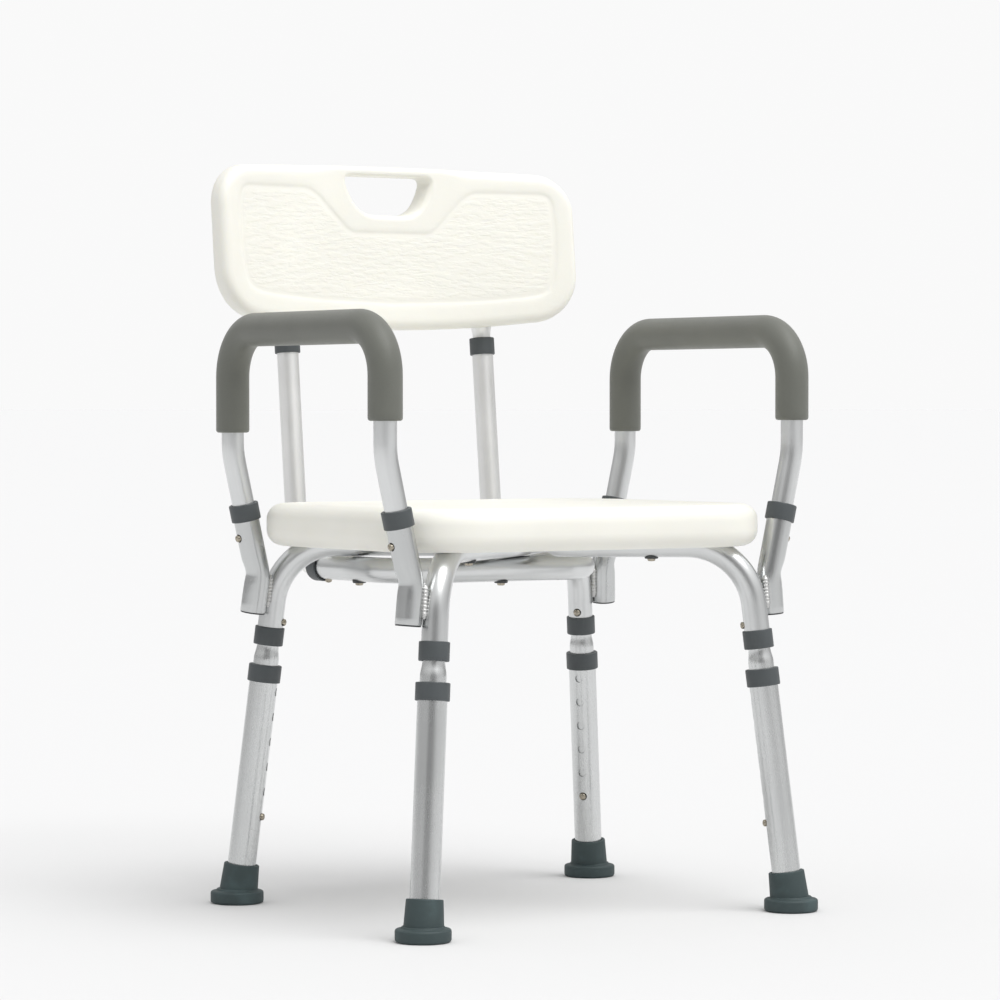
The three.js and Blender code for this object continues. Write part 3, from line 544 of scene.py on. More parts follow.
class Centreline:
    """A line of straights joined by arcs, read by distance along it."""

    def __init__(self, corners: Sequence[Vec], bends: Sequence[float], level: Vec) -> None:
        """Works out its straights and arcs.

        Args:
            corners: where the straights would meet.
            bends: the radius at each inner corner.
            level: a direction that no part of the line runs along, which holds its sections level.
        """
        points = [np.asarray(c, float) for c in corners]
        self.level = unit(level)
        self.parts: list[tuple[float, float, Array, Array, Array, float]] = []
        self.length = 0.0
        here = points[0]
        for i in range(1, len(points)):
            before = unit(points[i] - points[i - 1])
            if i == len(points) - 1:
                self._add(here, before, np.zeros(3), float(np.linalg.norm(points[i] - here)), 0.0)
                break
            after = unit(points[i + 1] - points[i])
            angle = math.acos(float(np.clip(before @ after, -1, 1)))
            radius = bends[i - 1]
            start = points[i] - before * radius * math.tan(angle / 2)
            self._add(here, before, np.zeros(3), float(np.linalg.norm(start - here)), 0.0)
            inward = unit(after - before * float(before @ after))
            self._add(start, before, inward, radius * angle, radius)
            here = points[i] + after * radius * math.tan(angle / 2)

    def _add(self, start: Array, tangent: Array, inward: Array, length: float, radius: float) -> None:
        """Adds a straight (radius nought) or an arc."""
        self.parts.append((self.length, length, start, tangent, inward, radius))
        self.length += length

    def at(self, distance: Array) -> tuple[Array, Array]:
        """Points and directions at distances along the line.

        A straight is start + s * T. An arc is start + r sin(s/r) * T + r (1 - cos(s/r)) * N.
        """
        points = np.zeros((len(distance), 3))
        tangents = np.zeros((len(distance), 3))
        for begin, length, start, tangent, inward, radius in self.parts:
            pick = (distance >= begin - 1e-9) & (distance <= begin + length + 1e-9)
            s = (distance[pick] - begin)[:, None]
            if radius:
                turn = s / radius
                ahead, sideways = radius * np.sin(turn), radius * (1 - np.cos(turn))
                points[pick] = start + ahead * tangent + sideways * inward
                tangents[pick] = np.cos(turn) * tangent + np.sin(turn) * inward
            else:
                points[pick] = start + s * tangent
                tangents[pick] = tangent
        return points, tangents

    def stations(self, straight: float = 9.0, degrees: float = 5.0) -> Array:
        """Distances close enough together to draw the line smoothly."""
        rows = []
        for begin, length, _, _, _, radius in self.parts:
            step = radius * math.radians(degrees) if radius else straight
            rows.append(np.linspace(begin, begin + length, max(2, math.ceil(length / step) + 1)))
        return np.unique(np.round(np.concatenate(rows), 5))

    def sections(self, distance: Array) -> tuple[Array, Array, Array]:
        """Centres and two crosswise directions at distances along the line."""
        points, tangents = self.at(distance)
        first = self.level - tangents * (tangents @ self.level)[:, None]
        first /= np.linalg.norm(first, axis=1)[:, None]
        return points, first, np.cross(tangents, first)


def carried(line: Centreline, distance: Array, radius: Array, ring: bool, sides: int = 44) -> Skin:
    """A round section carried along a line: P = C(s) + r (cos a * U + sin a * V).

    Args:
        line: the centreline.
        distance: the section's place along it.
        radius: its radius there.
        ring: whether the last section joins the first, as on a hollow tube.
        sides: steps round the section.

    Returns:
        The closed surface, whose pattern coordinates are those of the tube straightened out.
    """
    centre, first, second = line.sections(distance)
    angle = np.arange(sides) * 2 * math.pi / sides
    cos, sin = np.cos(angle)[None, :, None], np.sin(angle)[None, :, None]
    spread = radius[:, None, None] * (cos * first[:, None] + sin * second[:, None])
    points = centre[:, None] + spread
    lay = np.empty_like(points)
    lay[..., 0] = radius[:, None] * np.cos(angle)
    lay[..., 1] = radius[:, None] * np.sin(angle)
    lay[..., 2] = distance[:, None]
    quads = grid_quads(len(distance), sides, ring, True)
    return welded(points.reshape(-1, 3), quads, lay.reshape(-1, 3)).outward()


def tube(line: Centreline, radius: float, wall: float, edge: float = 0.45, sides: int = 44) -> Skin:
    """A hollow tube with eased rims along a line."""
    inner = line.stations()
    inner = inner[(inner > edge * 1.5) & (inner < line.length - edge * 1.5)]
    rim = np.array([0, 0.3 * edge, edge])
    outer_s = np.concatenate([rim, inner, line.length - rim[::-1]])
    drop = np.array([edge, 0.3 * edge, 0])
    outer_r = radius - np.concatenate([drop, np.zeros(len(inner)), drop[::-1]])
    inner_s = np.concatenate([[line.length], inner[::-1], [0.0]])
    inner_r = np.full(len(inner_s), radius - wall)
    distance, width = np.concatenate([outer_s, inner_s]), np.concatenate([outer_r, inner_r])
    return carried(line, distance, width, True, sides)


def swept(line: Centreline, radius: float, sides: int = 44) -> Skin:
    """A solid round bar along a line, closed at both ends."""
    s = line.stations()
    distance = np.concatenate([[s[0]], s, [s[-1]]])
    width = np.concatenate([[0], np.full(len(s), radius), [0]])
    return carried(line, distance, width, False, sides)


def rod(radius: float, start: Vec, direction: Vec, length: float, sides: int = 28) -> Skin:
    """A plain cylinder, used to bore holes."""
    profile = np.array([[0, 0], [radius, 0], [radius, length], [0, length]], float)
    return turned(profile, start, direction, sides)


def smoothstep(value: Array) -> Array:
    """0 below 0, 1 above 1, and 3t^2 - 2t^3 between."""
    t = np.clip(value, 0, 1)
    return t * t * (3 - 2 * t)


def depth_inside(points: Array, loop: Array) -> Array:
    """Distance of flat points from a closed outline, positive inside it and negative outside.

    The distance is the least over the outline's sides, and its sign is the parity of the sides
    that a ray along +x crosses.
    """
    start, end = loop, np.roll(loop, -1, 0)
    side = end - start
    least = np.full(len(points), np.inf)
    odd = np.zeros(len(points), bool)
    for a, b, d in zip(start, end, side):
        if not d.any():
            continue
        reach = np.clip(((points - a) @ d) / (d @ d), 0, 1)
        least = np.minimum(least, np.linalg.norm(points - a - reach[:, None] * d, axis=1))
        if a[1] != b[1]:
            spans = (a[1] > points[:, 1]) != (b[1] > points[:, 1])
            odd ^= spans & (points[:, 0] < d[0] * (points[:, 1] - a[1]) / d[1] + a[0])
    return np.where(odd, least, -least)


def moved_in(loop: Array, inset: float | Array) -> Array:
    """A counter-clockwise outline with each point moved inwards along its own normal."""
    along = np.roll(loop, -1, 0) - np.roll(loop, 1, 0)
    along /= np.linalg.norm(along, axis=1)[:, None]
    return loop + np.broadcast_to(inset, len(loop))[:, None] * np.stack([-along[:, 1], along[:, 0]], 1)


def evenly(loop: Array, step: float) -> Array:
    """A closed outline with its points spaced evenly."""
    closed = np.concatenate([loop, loop[:1]])
    reach = np.concatenate([[0], np.cumsum(np.linalg.norm(np.diff(closed, axis=0), axis=1))])
    at = np.linspace(0, reach[-1], max(16, int(reach[-1] / step)), endpoint=False)
    return np.stack([np.interp(at, reach, closed[:, k]) for k in (0, 1)], 1)


Lift = Callable[[Array, int, Array], Array]


@dataclass
class Plate:
    """A moulded plate: an outline with a rounded edge, holes with rounded lips, and two faces.

    The ease is given point by point. On each side, ring k of an edge lies ease * (1 - cos t)
    inside the outline and drops ease * (1 - sin t) from the face, for t from 0 to 90 degrees. The
    faces between the last rings are filled with triangles over a field of inner points. Extra
    points follow a guide line, and the field keeps clear of it.
    """

    outline: Array
    ease: Array
    holes: list[tuple[Array, Array]]
    spacing: float
    extra: Array = field(default_factory=lambda: np.zeros((0, 2)))
    guide: Array = field(default_factory=lambda: np.zeros((0, 2)))
    rings: int = 7
    guide_gap: float = 3.6
    margin: float = 0.45

    def _face(self, loops: list[Array]) -> tuple[Array, Array]:
        """Inner points and triangles of a face bounded by loops, the first the outer one."""
        low, high = loops[0].min(0), loops[0].max(0)
        xs = np.arange(low[0], high[0], self.spacing)
        ys = np.arange(low[1], high[1], self.spacing * 0.866)
        field_x, field_y = np.meshgrid(xs, ys)
        field_x = field_x + (np.arange(len(ys)) % 2)[:, None] * self.spacing / 2
        inner = np.concatenate([self.extra, np.stack([field_x.ravel(), field_y.ravel()], 1)])
        if len(self.extra):
            far = np.ones(len(inner), bool)
            from_guide = np.abs(depth_inside(inner[len(self.extra):], self.guide))
            far[len(self.extra):] = from_guide > self.guide_gap
            inner = inner[far]
        keep = depth_inside(inner, loops[0]) > self.spacing * self.margin
        for loop in loops[1:]:
            keep &= depth_inside(inner, loop) < -self.spacing * self.margin
        inner = inner[keep]
        points = np.concatenate(loops + [inner])
        edges, base = [], 0
        for loop in loops:
            edges += [(base + i, base + (i + 1) % len(loop)) for i in range(len(loop))]
            base += len(loop)
        result = delaunay_2d_cdt(points.tolist(), edges, [], 0, 1e-6)
        where = np.array([origin[0] if origin else -1 for origin in result[3]])
        triangles = where[np.array(result[2])]
        middle = points[triangles].mean(1)
        inside = depth_inside(middle, loops[0]) > 0
        for loop in loops[1:]:
            inside &= depth_inside(middle, loop) < 0
        return inner, triangles[inside & (triangles >= 0).all(1)]

    def skin(self, lift: Lift, grain: Callable[[Array, int], Array]) -> Skin:
        """The closed surface.

        Args:
            lift: gives 3-D points for flat points, a side (1 or -1) and how far each drops.
            grain: gives the grain mask for flat points on a side.

        Returns:
            The plate's skin.
        """
        turn = np.linspace(0, math.pi / 2, self.rings)
        bounds = [(self.outline, self.ease, 1)] + [(loop, ease, -1) for loop, ease in self.holes]
        last = [moved_in(loop, sign * ease) for loop, ease, sign in bounds]
        inner, triangles = self._face(last)
        count = sum(len(loop) for loop in last)
        points, masks, faces = [], [], []
        size = count * self.rings + len(inner)
        for face, side in enumerate((1, -1)):
            base = face * size
            for k, t in enumerate(turn):
                flat = np.concatenate([
                    moved_in(loop, sign * ease * (1 - math.cos(t))) for loop, ease, sign in bounds
                ])
                drop = np.concatenate([ease * (1 - math.sin(t)) for _, ease, _ in bounds])
                points.append(lift(flat, side, drop))
                masks.append(grain(flat, side) if k == self.rings - 1 else np.zeros(count))
            points.append(lift(inner, side, np.zeros(len(inner))))
            masks.append(grain(inner, side))
            shift = base + count * (self.rings - 1)
            faces += (triangles + shift)[:, ::side].tolist()
        begin = 0
        for loop, _, _ in bounds:
            ring = begin + np.arange(len(loop))
            rows = [ring + size + count * k for k in range(self.rings - 1, -1, -1)]
            rows += [ring + count * k for k in range(self.rings)]
            index = np.stack(rows)
            quads = grid_quads(len(rows), len(loop), False, True)
            faces += index.reshape(-1)[quads].tolist()
            begin += len(loop)
        placed = np.concatenate(points)
        return Skin(placed, faces, placed.copy(), np.concatenate(masks))


# ------------------------------------------------------------------ the workshop


@dataclass
class Workshop:
    """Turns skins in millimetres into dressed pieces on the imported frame."""

    shift: Array
    finishes: dict[str, Finish]
    materials: dict[str, bpy.types.Material] = field(default_factory=dict)
    count: int = 0

    def material(self, finish: str) -> bpy.types.Material:
        """A finish's material, made once."""
        if finish not in self.materials:
            self.materials[finish] = self.finishes[finish].material()
        return self.materials[finish]

    def raw(self, name: str, skins: Iterable[Skin]) -> bpy.types.Object:
        """An undressed object from skins, with its pattern attributes."""
        points, faces, lay, grain, base = [], [], [], [], 0
        for skin in skins:
            points.append((skin.points + self.shift) * MM)
            lay.append(skin.lay * MM)
            grain.append(np.zeros(len(skin.points)) if skin.grain is None else skin.grain)
            faces += [[i + base for i in face] for face in skin.faces]
            base += len(skin.points)
        mesh = bpy.data.meshes.new(name)
        mesh.from_pydata(np.concatenate(points).tolist(), [], faces)
        mesh.attributes.new("lay", "FLOAT_VECTOR", "POINT").data.foreach_set(
            "vector", np.concatenate(lay).astype(np.float32).ravel(),
        )
        mesh.attributes.new("grain", "FLOAT", "POINT").data.foreach_set(
            "value", np.concatenate(grain).astype(np.float32),
        )
        mesh.update()
        obj = bpy.data.objects.new(name, mesh)
        bpy.context.scene.collection.objects.link(obj)
        return obj

    def carve(self, obj: bpy.types.Object, cutters: Sequence[Sequence[Skin]]) -> None:
        """Cuts groups of skins out of an object, one group at a time, and applies the result."""
        for skins in cutters:
            tool = self.raw("cutter", skins)
            modifier = obj.modifiers.new("cut", "BOOLEAN")
            modifier.operation = "DIFFERENCE"
            modifier.solver = "EXACT"
            modifier.object = tool
            bpy.context.view_layer.update()
            graph = bpy.context.evaluated_depsgraph_get()
            mesh = bpy.data.meshes.new_from_object(obj.evaluated_get(graph))
            obj.modifiers.clear()
            obj.data = mesh
            bpy.data.objects.remove(tool)

    def piece(
        self, name: str, skins: Sequence[Skin], body: str, finish: str,
        replaces: Sequence[str] = (), cutters: Sequence[Sequence[Skin]] = (), crease: float = 38.0,
    ) -> bpy.types.Object:
        """Makes one finished piece.

        Args:
            name: the piece's name.
            skins: its closed surfaces.
            body: the CAD body that it rides on.
            finish: the name of its finish.
            replaces: the CAD nodes that it stands for.
            cutters: groups of skins cut out of it.
            crease: edges sharper than this many degrees stay crisp.

        Returns:
            The object.
        """
        obj = self.raw(name, skins)
        self.carve(obj, cutters)
        obj.data.name = name
        obj.data.materials.clear()
        obj.data.materials.append(self.material(finish))
        obj.data.polygons.foreach_set("use_smooth", np.ones(len(obj.data.polygons), bool))
        obj.data.set_sharp_from_angle(angle=math.radians(crease))
        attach(obj, body)
        if replaces:
            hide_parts(*replaces)
        self.count += 1
        LOG.info("%s: %d faces on %s", name, len(obj.data.polygons), body)
        return obj


def sleeve(
    radius: float, wall: float, low: float, high: float, ease: float = 0.4, step: float = 5.0,
) -> Array:
    """The ring profile of a plain tube between two heights, its outer rims eased."""
    heights = np.linspace(low + ease, high - ease, max(2, int((high - low) / step)))
    outer = np.stack([np.full(len(heights), radius), heights], 1)
    inner = np.stack([np.full(len(heights), radius - wall), heights[::-1]], 1)
    inner[0, 1], inner[-1, 1] = high, low
    return np.concatenate([[[radius - ease, low]], outer, [[radius - ease, high]], inner])


@dataclass
class Collar:
    """A moulded collar over the end of a tube, with a narrower mouth for the tube inside."""

    tube_radius: float
    inner_radius: float
    length: float
    wall: float = 2.1
    gap: float = 0.3
    lip: float = 2.0

    def profile(self) -> Array:
        """Its ring profile, with the tube's end at height 0 and the tube below."""
        bore, mouth = self.tube_radius + self.gap, self.inner_radius + self.gap
        radius, low = self.tube_radius + self.wall, self.lip - self.length
        return eased([
            (bore, low, 0.3), (radius, low, 0.9), (radius, self.lip, 1.2),
            (mouth, self.lip, 0.5), (mouth, self.gap, 0), (bore, self.gap, 0),
        ], 4, True)

    def fit(
        self, shop: Workshop, place: str, body: str, node: str, at: Array, direction: Vec,
    ) -> None:
        """Makes the collar.

        Args:
            shop: the workshop.
            place: where it sits, for its name.
            body: the CAD body that it rides on.
            node: the CAD node that it stands for.
            at: the end of its tube.
            direction: the way out of the tube.
        """
        skin = turned(self.profile(), at, direction)
        shop.piece(f"collar_{place}", [skin], body, "collar nylon", [node])


@dataclass
class SnapButton:
    """A spring button: a domed pin with an inner flange, drawn along the way it points."""

    radius: float = 3.5
    hole: float = 4.25
    flange: float = 4.3
    flange_thickness: float = 1.4
    stands_out: float = 3.4
    flange_below: float = 2.0
    dome: float = 2.1
    bore_from: float = 9.5
    bore_length: float = 13.5

    def skin(self, at: Array, out: Array, carrier_bore: float, outer_radius: float) -> Skin:
        """The button's surface.

        The tip is a quarter ellipse: radius * cos t across and dome * sin t along.
        """
        top = carrier_bore - self.flange_below
        tip = outer_radius + self.stands_out
        t = np.linspace(0, math.pi / 2, 9)
        crown = np.stack([self.radius * np.cos(t), tip - self.dome + self.dome * np.sin(t)], 1)
        crown[-1, 0] = 0.0
        foot = eased([
            (0, top - self.flange_thickness, 0), (self.flange, top - self.flange_thickness, 0.3),
            (self.flange, top, 0.3), (self.radius, top, 0.2),
        ])
        return turned(np.concatenate([foot, [[self.radius, top]], crown]), at, out, 32)

    def bore(self, at: Array, out: Array, outer_radius: float) -> Skin:
        """The hole that it stands in."""
        out = unit(out)
        return rod(self.hole, at + out * (outer_radius - self.bore_from), out, self.bore_length)

    def fit(self, shop: Workshop, place: str, node: str, skin: Skin) -> None:
        """Makes the button of a place, on that place's own body."""
        shop.piece(f"snap_{place}", [skin], f"button_{place}", "plated steel", [node])


def saddle_bolt(shop: Workshop, name: str, at: Array) -> None:
    """A pan-head bolt with its saddle washer, up into the underside of a tube."""
    washer = eased([(0, -1.5, 0), (6.6, -1.5, 0.8), (7.4, 1.9, 0.8), (0, 3.0, 0)], 5)
    head = eased([
        (0, -3.0, 0), (1.5, -3.0, 0.1), (1.6, -4.0, 0.1), (3.6, -3.8, 0.9), (4.3, -1.4, 0.3),
        (0, -1.3, 0),
    ], 5)
    shop.piece(f"{name}_saddle", [turned(washer, at, (0, 0, 1), 36)], "frame", "dark nylon")
    shop.piece(name, [turned(head, at, (0, 0, 1), 36)], "frame", "plated steel")


# ------------------------------------------------------------------ sub-assemblies


@dataclass
class Stance:
    """Where the legs stand and how far they lean."""

    foot_x: float = 215.0
    foot_y: float = 178.4
    splay: float = 0.1223

    @property
    def tilt(self) -> float:
        """The lean as an angle."""
        return math.atan(self.splay)

    @property
    def spread(self) -> float:
        """Distance of a foot from the middle of the chair."""
        return math.hypot(self.foot_x, self.foot_y)

    def heading(self, x: int, y: int) -> Array:
        """Flat direction from the middle towards a corner."""
        return np.array([x * self.foot_x, y * self.foot_y, 0.0]) / self.spread

    def foot(self, x: int, y: int) -> Array:
        """Where a leg's centreline meets the floor."""
        return self.heading(x, y) * self.spread

    def up(self, x: int, y: int) -> Array:
        """The way a leg rises."""
        return -self.heading(x, y) * math.sin(self.tilt) + np.array([0, 0, math.cos(self.tilt)])

    def inward(self, x: int, y: int) -> Array:
        """The way its buttons face."""
        return -self.heading(x, y) * math.cos(self.tilt) - np.array([0, 0, math.sin(self.tilt)])

    def reach(self, z: float) -> float:
        """Distance of a leg's centreline from the middle at a height."""
        return self.spread - self.splay * z


CORNERS = {"front_right": (-1, -1), "front_left": (1, -1), "rear_right": (-1, 1), "rear_left": (1, 1)}
SIDES = {"right": -1, "left": 1}


@dataclass
class CrossFrame:
    """Two bent tubes that cross under the seat, pressed flat where they pass, and their bolts."""

    stance: Stance
    radius: float = 12.7
    wall: float = 1.4
    height: float = 363.75
    bend: float = 67.0
    end_along: float = 265.0
    button_along: float = 287.3
    press_half: float = 20.0
    press_fade: float = 26.0
    press_widen: float = 1.25
    press_gap: float = 0.5
    bolt_reach: float = 140.0

    def line(self, azimuth: float) -> Centreline:
        """Up one leg, across under the seat and down the other."""
        heading = np.array([math.cos(azimuth), math.sin(azimuth), 0.0])
        rise = np.array([0, 0, 1.0])
        low = self.end_along * math.cos(self.stance.tilt)
        end = self.stance.spread - self.end_along * math.sin(self.stance.tilt)
        corner = self.stance.reach(self.height)
        corners = [
            -end * heading + low * rise, -corner * heading + self.height * rise,
            corner * heading + self.height * rise, end * heading + low * rise,
        ]
        return Centreline(corners, [self.bend, self.bend], (-heading[1], heading[0], 0))

    def pressed(self, skin: Skin, azimuth: float, up: int) -> Skin:
        """Presses the middle of a tube flat.

        With share w = 1 - smoothstep((|r| - half) / fade), heights above the centreline shrink
        towards just under half, the tube moves up or down by half its flat height, and its width
        grows.
        """
        heading = np.array([math.cos(azimuth), math.sin(azimuth)])
        side = np.array([-heading[1], heading[0]])
        along = skin.points[:, :2] @ heading
        wide = skin.points[:, :2] @ side
        share = 1 - smoothstep((np.abs(along) - self.press_half) / self.press_fade)
        flat = (self.radius - self.press_gap / 2) / (2 * self.radius)
        lift = up * (self.radius + self.press_gap / 2) / 2
        above = skin.points[:, 2] - self.height
        skin.points[:, 2] = self.height + above * (1 - share * (1 - flat)) + lift * share
        wide = wide * (1 + share * (self.press_widen - 1))
        skin.points[:, :2] = along[:, None] * heading + wide[:, None] * side
        return skin

    def azimuth(self, y: int) -> float:
        """Heading of the tube whose +X end stands at the front (-1) or the rear (1)."""
        return math.atan2(y * self.stance.foot_y, self.stance.foot_x)

    def build(self, shop: Workshop) -> None:
        """Makes the two tubes."""
        button = SnapButton()
        for name, y, up in (("over", -1, 1), ("under", 1, -1)):
            azimuth = self.azimuth(y)
            skin = self.pressed(tube(self.line(azimuth), self.radius, self.wall, sides=48), azimuth, up)
            holes = []
            for x in (-1, 1):
                foot = self.stance.foot(x, x * y)
                at = foot + self.stance.up(x, x * y) * self.button_along
                holes.append(button.bore(at, self.stance.inward(x, x * y), self.radius))
            shop.piece(
                f"frame_tube_{name}", [skin], "frame", "frame aluminium", [f"cross_tube_{name}"],
                [holes],
            )
        underside = np.array([0, 0, self.height - self.radius])
        for word, x in SIDES.items():
            at = self.stance.heading(x, -1) * self.bolt_reach + underside
            saddle_bolt(shop, f"seat_bolt_{word}", at)


@dataclass
class Seat:
    """The blow-moulded seat, with grooves underneath for the frame tubes."""

    cross: CrossFrame
    half_x: float = 218.4
    half_y: float = 177.5
    corner: float = 90.0
    ease: float = 16.0
    bottom: float = 362.4
    thickness: float = 42.0
    dish: float = 1.2
    dish_from: float = 20.0
    dish_fade: float = 70.0
    grain: float = 0.12
    clearance: float = 0.55
    pocket_radius: float = 49.0
    vent_radius: float = 4.0
    vent_depth: float = 6.0

    def outline(self) -> Array:
        """A rectangle with its corners rounded by arcs, counter-clockwise."""
        t = np.linspace(0, math.pi / 2, 40)
        rows = []
        for quarter, (x, y) in enumerate(((1, 1), (-1, 1), (-1, -1), (1, -1))):
            centre = np.array([x * (self.half_x - self.corner), y * (self.half_y - self.corner)])
            angle = t + quarter * math.pi / 2
            rows.append(centre + self.corner * np.stack([np.cos(angle), np.sin(angle)], 1))
        return evenly(np.concatenate(rows), 5.0)

    def lift(self, flat: Array, side: int, drop: Array) -> Array:
        """Heights of the two faces: the middle plus or minus half the thickness less the drop.

        The upper face is dished by dish * smoothstep((depth inside the edge - from) / fade).
        """
        middle = self.bottom + self.thickness / 2
        z = middle + side * (self.thickness / 2 - drop)
        if side > 0:
            inside = depth_inside(flat, self.outline())
            z = z - self.dish * smoothstep((inside - self.dish_from) / self.dish_fade)
        return np.concatenate([flat, z[:, None]], 1)

    def build(self, shop: Workshop) -> None:
        """Makes the moulding and cuts its grooves, middle pocket and vent."""
        outline = self.outline()
        plate = Plate(outline, np.full(len(outline), self.ease), [], 9.0, rings=9)
        skin = plate.skin(self.lift, lambda flat, side: np.full(len(flat), self.grain * (side > 0)))
        channel = self.cross.radius + self.clearance
        grooves = [[swept(self.cross.line(self.cross.azimuth(y)), channel)] for y in (-1, 1)]
        top, clear = self.cross.height + channel, 12
        up = (0, 0, 1)
        pocket = rod(self.pocket_radius, (0, 0, self.bottom - clear), up, top - self.bottom + clear, 64)
        vent_at = (0, self.half_y / 2, self.bottom - self.vent_depth / 2)
        vent = rod(self.vent_radius, vent_at, up, self.vent_depth * 1.5)
        shop.piece(
            "seat_moulding", [skin], "frame", "cream moulding", ["seat_panel"],
            [*grooves, [pocket], [vent]], crease=32,
        )


@dataclass
class Leg:
    """One telescopic leg: rubber foot, outer tube, insert, two collars and two snap buttons."""

    cross: CrossFrame
    name: str
    x: int
    y: int
    radius: float = 14.3
    wall: float = 1.4
    insert_radius: float = 12.7
    neck_radius: float = 11.0
    tube_from: float = 8.3
    tube_to: float = 241.0
    hole_first: float = 89.6
    hole_pitch: float = 25.4
    hole_count: int = 6
    insert_from: float = 70.0
    shoulder: float = 250.0
    neck_to: float = 304.0
    lower_collar: tuple[float, float] = (17.4, 2.3)
    upper_collar: tuple[float, float] = (18.5, 2.15)
    neck_steps: int = 30

    def build(self, shop: Workshop) -> None:
        """Makes every piece of the leg."""
        stance, cross = self.cross.stance, self.cross
        foot, up = stance.foot(self.x, self.y), stance.up(self.x, self.y)
        inward = stance.inward(self.x, self.y)
        button = SnapButton()
        leg, insert = f"leg_{self.name}", f"insert_{self.name}"
        holes = [
            button.bore(foot + up * (self.hole_first + i * self.hole_pitch), inward, self.radius)
            for i in range(self.hole_count)
        ]
        body = turned(sleeve(self.radius, self.wall, self.tube_from, self.tube_to), foot, up)
        shop.piece(
            f"leg_outer_{self.name}", [body], leg, "leg aluminium", [f"leg_tube_{self.name}"], [holes],
        )
        self.rubber(shop, foot, up, leg)
        necked = [
            button.bore(foot + up * self.hole_first, inward, self.insert_radius),
            button.bore(foot + up * cross.button_along, inward, self.neck_radius),
        ]
        shop.piece(
            f"leg_inner_{self.name}", [turned(self.necked_profile(), foot, up)], insert,
            "leg aluminium", [f"leg_insert_{self.name}"], [necked],
        )
        Collar(self.radius, self.insert_radius, *self.lower_collar).fit(
            shop, f"lower_{self.name}", leg, f"leg_collar_lower_{self.name}",
            foot + up * self.tube_to, up,
        )
        Collar(cross.radius, self.neck_radius, *self.upper_collar).fit(
            shop, f"upper_{self.name}", "frame", f"leg_collar_upper_{self.name}",
            foot + up * cross.end_along, -up,
        )
        for place, along, bore, outer in (
            ("lower", self.hole_first, self.insert_radius - self.wall, self.radius),
            ("upper", cross.button_along, self.neck_radius - self.wall, cross.radius),
        ):
            skin = button.skin(foot + up * along, inward, bore, outer)
            button.fit(shop, f"{place}_{self.name}", f"leg_button_{place}_{self.name}", skin)

    def necked_profile(self) -> Array:
        """The insert's ring profile: a full tube that necks in by two soft bends near its top."""
        r, n, w = self.insert_radius, self.neck_radius, self.wall
        low, high = self.insert_from, self.shoulder
        stem = np.linspace(low + 0.5, high - 5, self.neck_steps)
        outer = np.stack([np.full(self.neck_steps, r), stem], 1)
        neck = eased([(r, high - 5, 0), (r, high + 1, 4), (n, high + 9, 4), (n, high + 16, 0)], 7)
        rest = np.stack([np.full(8, n), np.linspace(high + 18, self.neck_to - 0.5, 8)], 1)
        inner_neck = np.array([[n - w, self.neck_to], [n - w, high + 10], [r - w, high], [r - w, low]])
        rims = [[r - 0.4, low]], [[n - 0.4, self.neck_to]]
        return np.concatenate([rims[0], outer, neck[1:], rest, rims[1], inner_neck])

    def rubber(self, shop: Workshop, foot: Array, up: Array, body: str) -> None:
        """The flat flange on the floor, and the tapered cup that follows the leaning leg."""
        flange = eased([
            (0, 0, 0), (24.6, 0, 0.3), (26.8, 1.6, 1.4), (26.8, 12.4, 2.6), (20.9, 13.2, 0.9),
            (20.3, 15.0, 0.8), (0, 15.6, 0),
        ], 6)
        cup = eased([
            (0, 6, 0), (19.5, 6, 0), (19.2, 15, 1.0), (17.75, 40, 1.4), (14.75, 40, 0.7),
            (14.6, 8.0, 0), (0, 8.0, 0),
        ], 6)
        shop.piece(
            f"foot_{self.name}", [turned(flange, foot, (0, 0, 1), 64), turned(cup, foot, up, 64)], body,
            "foot rubber", [f"leg_foot_{self.name}"],
        )


@dataclass
class WeldBead:
    """Two scalloped beads, one in the groove on each side of two tubes that touch."""

    apart: float = 6.2
    end_radius: float = 1.2
    swell: float = 1.3
    ripple: float = 0.6
    pitch: float = 3.4
    fade: float = 4.0
    steps: int = 90

    def skins(self, ends: Array, aside: Array) -> list[Skin]:
        """Their surfaces.

        Bead radius = end + f (swell + ripple |sin(pi s / pitch)|), where f fades from 0 at the
        ends to 1.

        Args:
            ends: the ends of the line between the beads, 2 by 3.
            aside: the direction from one bead to the other.

        Returns:
            The two beads.
        """
        skins = []
        for sign in (-1, 1):
            bead = Centreline(list(ends + aside * sign * self.apart), [], aside)
            s = np.linspace(0, bead.length, self.steps)
            fade = smoothstep(np.minimum(s, bead.length - s) / self.fade)
            ripples = self.swell + self.ripple * np.abs(np.sin(math.pi * s / self.pitch))
            radius = np.concatenate([[0], self.end_radius + fade * ripples, [0]])
            skins.append(carried(bead, np.concatenate([[0], s, [bead.length]]), radius, False, 18))
        return skins


